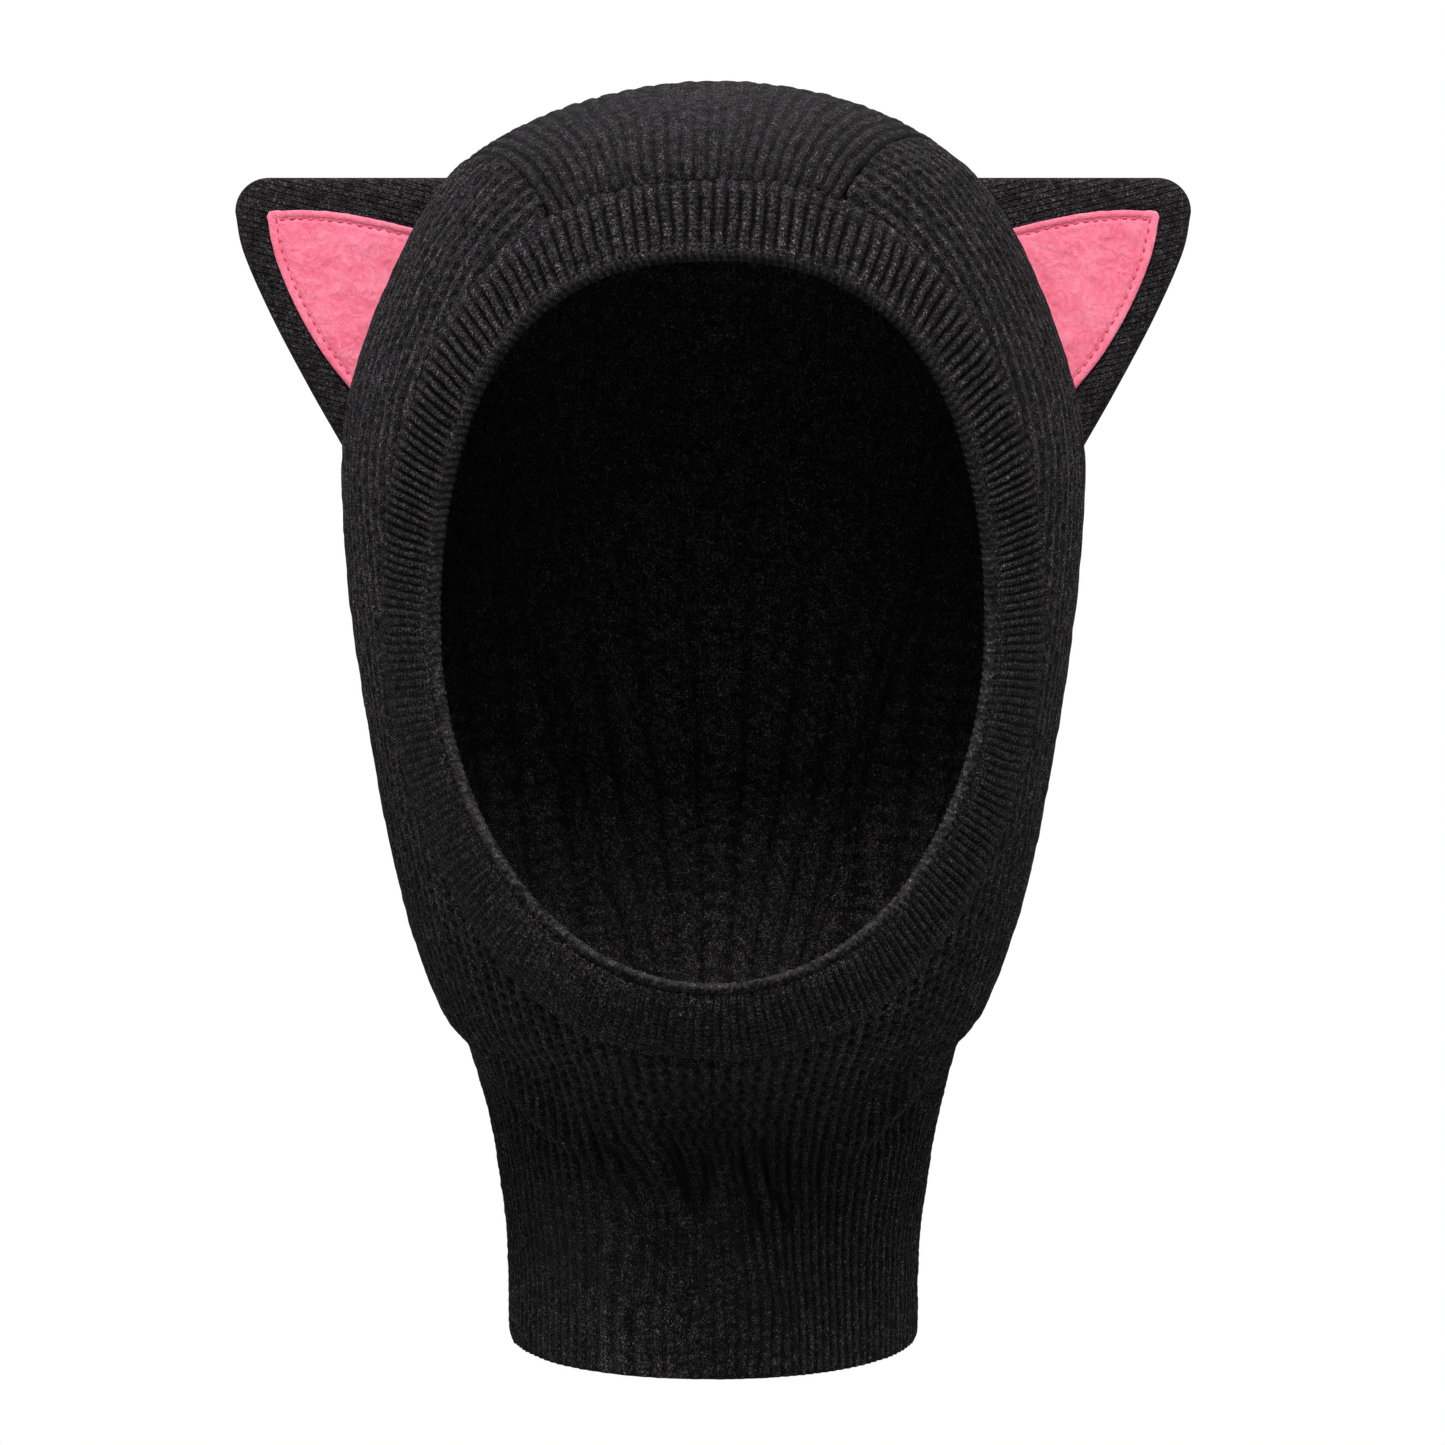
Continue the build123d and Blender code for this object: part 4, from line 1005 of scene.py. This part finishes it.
def fill(boundary, spacing, seed):
    """Triangles that fill an outline, with evenly spread inner points."""
    lo, hi = boundary.min(0), boundary.max(0)
    xs = np.arange(lo[0], hi[0], spacing)
    zs = np.arange(lo[1], hi[1], spacing * 0.866)
    g = np.array([(x + (0.5 * spacing if j % 2 else 0), z) for j, z in enumerate(zs) for x in xs])
    closed = np.concatenate([boundary, boundary[:1]])
    # inside test
    inside = np.zeros(len(g), bool)
    for (x0, z0), (x1, z1) in zip(closed[:-1], closed[1:]):
        hit = ((z0 > g[:, 1]) != (z1 > g[:, 1])) & (g[:, 0] < x0 + (g[:, 1] - z0) / (z1 - z0 + 1e-12) * (x1 - x0))
        inside ^= hit
    g = g[inside]
    g = g[dist_to(closed, g) > spacing * 0.6]
    pts = np.concatenate([boundary, g])
    nb = len(boundary)
    edges = [(i, (i + 1) % nb) for i in range(nb)]
    vs, _, fs, *_ = delaunay_2d_cdt([Vector(p) for p in pts], edges, [], 1, 1e-5)
    return np.array([tuple(v) for v in vs]), np.array([tuple(f) for f in fs]), nb


def ear_outline():
    side = spline_pts([(117.4, 277.0), (115.4, 267.1), (108.6, 251.4), (99.2, 233.4), (91.0, 218.9)], 150)
    ang = np.linspace(np.pi / 2, -0.02, 26)[1:-1]
    corner = np.stack([109.1 + 8.3 * np.cos(ang), 277.2 + 8.3 * np.sin(ang)], -1)
    top = np.stack([np.linspace(62.6, 109.1, 95), np.full(95, 285.5)], -1)
    z = np.linspace(218.9, 285.5, 120)[1:-1]
    base = np.stack([fa(z) - 1.6, z], -1)
    return top, corner, side, base


def ear_front_y(x, z, free):
    """The padded ear's front face; free is the distance from its sewn edges."""
    t = np.clip(free / 6.5, 0, 1)
    return EAR_T / 2 * (0.12 + 0.88 * np.sqrt(1 - (1 - t) ** 2)) * (1 - 0.10 * sstep(free, 9, 16))


def build_ear(sign):
    side_name = "left" if sign > 0 else "right"
    top, corner, side, base = ear_outline()
    loop = np.concatenate([top, corner, side, base])
    free_line = np.concatenate([top, corner, side])
    pts, tris, nb = fill(loop, 0.42, 1)
    n = len(pts)
    free = dist_to(free_line, pts)
    half = ear_front_y(pts[:, 0], pts[:, 1], free)
    p3 = np.stack([pts[:, 0], 0 * pts[:, 0], pts[:, 1]], -1)
    lump = 0.28 * noise(p3, 9.0, 20 + sign) + 0.08 * noise(p3, 3.0, 22)
    # fine knitted ribs that lean a little, and the rounded seam round the edge
    lean = math.radians(14)
    c = (pts[:, 1] * math.cos(lean) - pts[:, 0] * math.sin(lean)) / 1.45 + 0.12 * noise(p3, 7.0, 24)
    rib = ridge(c, 0.40, 2.0)
    body = sstep(free, 0.3, 2.0)
    front = half + (lump * body + 0.20 * (rib - 0.6) * body)
    back = half + (0.28 * noise(p3, 9.0, 26 + sign) * body + 0.20 * (rib - 0.6) * body)
    is_edge = free < 0.02
    edge_t = 0.55
    verts_f = np.stack([pts[:, 0], EAR_Y - np.where(is_edge, edge_t, front), pts[:, 1]], -1)
    verts_b = np.stack([pts[:, 0], EAR_Y + np.where(is_edge, edge_t, back), pts[:, 1]], -1)
    verts = np.concatenate([verts_f, verts_b])
    # outline vertices are the first nb
    a2 = (pts[tris[:, 1]] - pts[tris[:, 0]])
    b2 = (pts[tris[:, 2]] - pts[tris[:, 0]])
    ccw = (a2[:, 0] * b2[:, 1] - a2[:, 1] * b2[:, 0]) > 0
    tf = np.where(ccw[:, None], tris, tris[:, ::-1])
    tb = tf[:, ::-1] + n
    i = np.arange(nb)
    j = (i + 1) % nb
    poly_area = 0.5 * np.sum(loop[:, 0] * np.roll(loop[:, 1], -1) - np.roll(loop[:, 0], -1) * loop[:, 1])
    wall = np.stack([i, i + n, j + n, j], -1)
    if poly_area < 0:
        wall = wall[:, ::-1]
    uv = np.stack([pts[:, 0] / 1.45 * 0 + c, pts[:, 0] / 1.5], -1)
    uv = np.concatenate([uv, uv])
    # painted shade in the valleys between the ear's ribs
    shade = 0.35 + 0.65 * rib
    shade = np.concatenate([shade, shade])
    faces = [tf, tb, wall]
    if sign < 0:
        verts = verts * [-1, 1, 1]
        faces = [f[:, ::-1] for f in faces]
    ob = mesh_object(f"knit_{side_name}_ear", verts, faces, uv, M_EAR, {"shade": shade})
    felt, thread = build_felt(sign, side_name)
    return ob, felt, thread


def build_felt(sign, side_name):
    z_in = np.linspace(234.4, 273.0, 60)
    inner = np.stack([fa(z_in) - 0.6, z_in], -1)
    top = spline_pts([(73.1, 273.0), (84.0, 275.6), (96.0, 277.4), (107.0, 277.5)], 70)
    corner = spline_pts([(107.0, 277.5), (108.7, 277.1), (109.3, 275.8)], 8)
    outer = spline_pts([(109.3, 275.8), (107.0, 265.2), (101.8, 252.8), (95.6, 242.2), (89.0, 233.7)], 80)
    # the cut edge is a little ragged
    for line, seed in ((top, 40), (outer, 41)):
        q = np.stack([line[:, 0], 0 * line[:, 0], line[:, 1]], -1)
        jag = 0.10 * noise(q, 0.8, seed) + 0.12 * noise(q, 3.0, seed + 2)
        line[1:-1] += jag[1:-1, None] * np.array([0.6, 0.8])
    loop = np.concatenate([inner[1:], top[1:], corner[1:], outer[1:]])
    sewn = np.concatenate([top, corner[1:], outer[1:]])
    pts, tris, nb = fill(loop, 0.40, 2)
    n = len(pts)
    tline, cline, sline, _ = ear_outline()
    ear_free = dist_to(np.concatenate([tline, cline, sline]), pts)
    p3 = np.stack([pts[:, 0], 0 * pts[:, 0], pts[:, 1]], -1)
    seat = EAR_Y - ear_front_y(pts[:, 0], pts[:, 1], ear_free) - 0.05
    e = dist_to(sewn, pts)
    stitched = np.exp(-((e - 2.1) / 0.55) ** 2)
    lump = 0.30 * noise(p3, 5.5, 30 + sign) + 0.16 * noise(p3, 2.0, 31) + 0.10 * noise(p3, 0.9, 32)
    thick = 1.25 + lump * sstep(e, 1.2, 4.0) - 0.55 * stitched + 0.35 * sstep(e, 2.6, 6.5)
    thick = thick * (0.66 + 0.34 * sstep(e, 0.0, 0.5))
    verts = np.concatenate([np.stack([pts[:, 0], seat - thick, pts[:, 1]], -1), np.stack([pts[:, 0], seat + 0 * thick, pts[:, 1]], -1)])
    a2 = (pts[tris[:, 1]] - pts[tris[:, 0]])
    b2 = (pts[tris[:, 2]] - pts[tris[:, 0]])
    ccw = (a2[:, 0] * b2[:, 1] - a2[:, 1] * b2[:, 0]) > 0
    tf = np.where(ccw[:, None], tris, tris[:, ::-1])
    i = np.arange(nb)
    j = (i + 1) % nb
    area = 0.5 * np.sum(loop[:, 0] * np.roll(loop[:, 1], -1) - np.roll(loop[:, 0], -1) * loop[:, 1])
    wall = np.stack([i, i + n, j + n, j], -1)
    if area < 0:
        wall = wall[:, ::-1]
    faces = [tf, tf[:, ::-1] + n, wall]
    uv = np.concatenate([pts, pts]) / 10.0
    if sign < 0:
        verts = verts * [-1, 1, 1]
        faces = [f[:, ::-1] for f in faces]
    felt = mesh_object(f"felt_{side_name}_ear", verts, faces, uv, M_FELT)
    # top stitching: short stitches sunk in the groove 2.1 mm inside the edge
    out_v, out_f = [], []
    count = 0
    rings, around = 7, 8
    for line, skip in ((top, 0.04), (outer, 0.0)):
        dd, total = resample(line, 400)
        t = np.gradient(dd, axis=0)
        t /= np.linalg.norm(t, axis=1, keepdims=True)
        inward = np.stack([t[:, 1], -t[:, 0]], -1)
        path = dd + 2.1 * inward
        ns = int(total / 2.45)
        for q in range(ns):
            s0 = (q + 0.14) / ns
            s1 = (q + 0.80) / ns
            if s0 < skip:
                continue
            a = path[int(s0 * 399)]
            b = path[int(s1 * 399)]
            mid = (a + b) / 2
            if dist_to(sewn, mid[None])[0] < 1.8:
                continue
            if mid[0] < fa(mid[1]) + 0.3:
                continue
            wob = RNG.uniform(-0.12, 0.12, 2)
            a, b = a + wob, b + wob
            ef = dist_to(np.concatenate([tline, cline, sline]), mid[None])
            yy = EAR_Y - ear_front_y(mid[0], mid[1], ef)[0] - 0.05 - 0.86
            ax = (b - a) / np.linalg.norm(b - a)
            nx = np.array([-ax[1], ax[0]])
            for r in range(rings):
                f = r / (rings - 1)
                cen = a + (b - a) * f
                rad = 0.30 * math.sqrt(max(1 - (2 * f - 1) ** 4, 0.02))
                dip = 0.30 * (2 * f - 1) ** 2
                for w in range(around):
                    an = 2 * math.pi * w / around
                    o = nx * math.cos(an) * rad
                    out_v.append((cen[0] + o[0], yy + dip - math.sin(an) * rad, cen[1] + o[1]))
            base_i = count
            out_f.append(quads(rings, around, base_i, True))
            out_v.append((a[0], yy + 0.30, a[1]))
            out_v.append((b[0], yy + 0.30, b[1]))
            ca, cb = base_i + rings * around, base_i + rings * around + 1
            jj = np.arange(around)
            j2 = (jj + 1) % around
            last = base_i + (rings - 1) * around
            tri_a = np.stack([np.full(around, ca), base_i + j2, base_i + jj], -1)
            tri_b = np.stack([np.full(around, cb), last + jj, last + j2], -1)
            out_f.append(np.concatenate([tri_a, tri_b]))
            count += rings * around + 2
    verts = np.array(out_v)
    if sign < 0:
        verts = verts * [-1, 1, 1]
        out_f = [f[:, ::-1] for f in out_f]
    thread = mesh_object(f"stitching_{side_name}_ear", verts, out_f, verts[:, [0, 2]], M_THREAD)
    return felt, thread


# ------------------------------------------------------------------ build everything
band = build_band()
edge = build_edge()
left = build_side(1)
right = build_side(-1)
center = build_center()
neck_f = build_neck(True)
neck_b = build_neck(False)
for ob, nodes, slot in (
    (band, ("face_band",), "rib_knit"), (edge, ("face_band_edge",), "cast_off_edge"),
    (left, ("hood_left_panel",), "waffle_knit"), (right, ("hood_right_panel",), "waffle_knit"),
    (center, ("hood_center_panel",), "crown_knit"), (neck_f, ("neck_front_panel",), "neck_knit"),
    (neck_b, ("neck_back_panel",), "neck_knit"),
):
    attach(ob, "root")
    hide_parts(*nodes)

# seam yarns, on the inside
DEEP = KNIT_T + 0.9


def inset_line(pts):
    return pts - gradient(pts) * DEEP


ropes = []
for sgn, nm in ((1, "left"), (-1, "right")):
    phi = np.linspace((PHI_L if sgn > 0 else PHI_R) + 0.05, (NAPE_L if sgn > 0 else NAPE_R) - 0.02, 500)
    line = inset_line(seam_point(phi, float(sgn)))
    ropes.append((rope(f"yarn_crown_seam_{nm}", line, 1.15, 2.6, M_SEAM), f"crown_seam_{nm}"))
    zz = np.linspace(2.5, NECK_Z - 3.4, 90)
    line = inset_line(np.stack([fa(zz), 0 * zz + SY, zz], -1)) * [sgn, 1, 1]
    ropes.append((rope(f"yarn_neck_side_{nm}", line, 1.1, 2.6, M_SEAM), f"neck_side_seam_{nm}"))
tau = np.linspace(-np.pi / 2 + 0.004, 3 * np.pi / 2 - 0.004, 900)
ropes.append((rope("yarn_face_band_seam", inset_line(band_line(tau)), 1.15, 2.6, M_SEAM), "face_band_seam"))
th = np.linspace(0.01, 2 * np.pi - 0.01, 600)
cc, ss = np.cos(th), np.sin(th)
ring = np.stack([fa(NECK_Z) * np.sign(ss) * np.abs(ss) ** (2 / P), SY - np.where(cc > 0, ff(NECK_Z), fb(NECK_Z)) * np.sign(cc) * np.abs(cc) ** (2 / P), 0 * th + NECK_Z], -1)
ropes.append((rope("yarn_neck_seam", inset_line(ring), 1.15, 2.6, M_SEAM), "neck_seam"))
zz = np.linspace(NECK_Z + 3.4, OPEN_Z - BAND_OUTER[2] - 3.4, 40)
ropes.append((rope("yarn_chin_seam", inset_line(np.stack([0 * zz, front_y(0 * zz, zz), zz], -1)), 1.1, 2.6, M_SEAM), "chin_seam"))
for ob, nd in ropes:
    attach(ob, "root")
    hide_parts(nd)

for sgn, nm in ((1, "left"), (-1, "right")):
    ear, felt, thread = build_ear(sgn)
    for ob in (ear, felt, thread):
        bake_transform(ob)
    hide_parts(f"{nm}_ear_front", f"{nm}_ear_back", f"{nm}_ear_wadding", f"{nm}_ear_base")
    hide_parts(f"{nm}_ear_felt")
    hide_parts(f"{nm}_ear_stitching")

# ------------------------------------------------------------------ stage, light, camera
bpy.ops.mesh.primitive_circle_add(vertices=96, radius=0.9, fill_type="NGON", location=(0, 0, -0.30))
floor = bpy.context.object
floor.name = "floor"
fm, fnt, fb_ = new_mat("floor_pale")
fb_.inputs["Base Color"].default_value = (0.86, 0.86, 0.86, 1)
fb_.inputs["Roughness"].default_value = 0.9
floor.data.materials.append(fm)
bpy.context.scene.view_settings.view_transform = "Standard"

world = bpy.data.worlds.new("studio")
bpy.context.scene.world = world
world.use_nodes = True
wn = world.node_tree
wn.nodes.clear()
wout = wn.nodes.new("ShaderNodeOutputWorld")
lp = wn.nodes.new("ShaderNodeLightPath")
seen = wn.nodes.new("ShaderNodeBackground")
seen.inputs[0].default_value = (1, 1, 1, 1)
seen.inputs[1].default_value = 1.0
lit = wn.nodes.new("ShaderNodeBackground")
lit.inputs[0].default_value = (0.95, 0.97, 1.0, 1)
lit.inputs[1].default_value = 0.07
mixw = wn.nodes.new("ShaderNodeMixShader")
wn.links.new(lp.outputs["Is Camera Ray"], mixw.inputs[0])
wn.links.new(lit.outputs[0], mixw.inputs[1])
wn.links.new(seen.outputs[0], mixw.inputs[2])
wn.links.new(mixw.outputs[0], wout.inputs[0])


def area(name, loc, target, size, power, size_y=None, color=(1, 1, 1)):
    l = bpy.data.lights.new(name, "AREA")
    l.energy = power
    l.size = size
    if size_y:
        l.shape = "RECTANGLE"
        l.size_y = size_y
    l.color = color
    o = bpy.data.objects.new(name, l)
    bpy.context.scene.collection.objects.link(o)
    o.location = loc
    o.rotation_euler = (Vector(target) - Vector(loc)).to_track_quat("-Z", "Y").to_euler()
    return o


area("key_top", (0.0, -1.05, 1.55), (0, 0, 0.22), 0.9, 57, 0.8)
area("top_back", (0.0, 0.8, 1.3), (0, 0, 0.25), 0.9, 15, 0.8)
area("side_left", (-1.3, 0.30, 0.45), (0, 0, 0.18), 0.5, 9, 1.2)
area("side_right", (1.3, 0.30, 0.45), (0, 0, 0.18), 0.5, 9, 1.2)
area("front_fill", (0.0, -1.9, 0.45), (0, 0, 0.18), 0.9, 2.6, 0.8)

TH, D = math.radians(5.0), 1.300
CX, CZC = 0.0023, 0.1525
cam = bpy.data.cameras.new("camera")
cam.lens = 36.0 * 5306.12 / 1445.0
cam.sensor_width = 36.0
cam.clip_start = 0.05
co = bpy.data.objects.new("camera", cam)
bpy.context.scene.collection.objects.link(co)
co.location = (CX, -D * math.cos(TH) - 0.005, CZC + D * math.sin(TH))
co.rotation_euler = (math.radians(90) - TH, 0, 0)
bpy.context.scene.camera = co
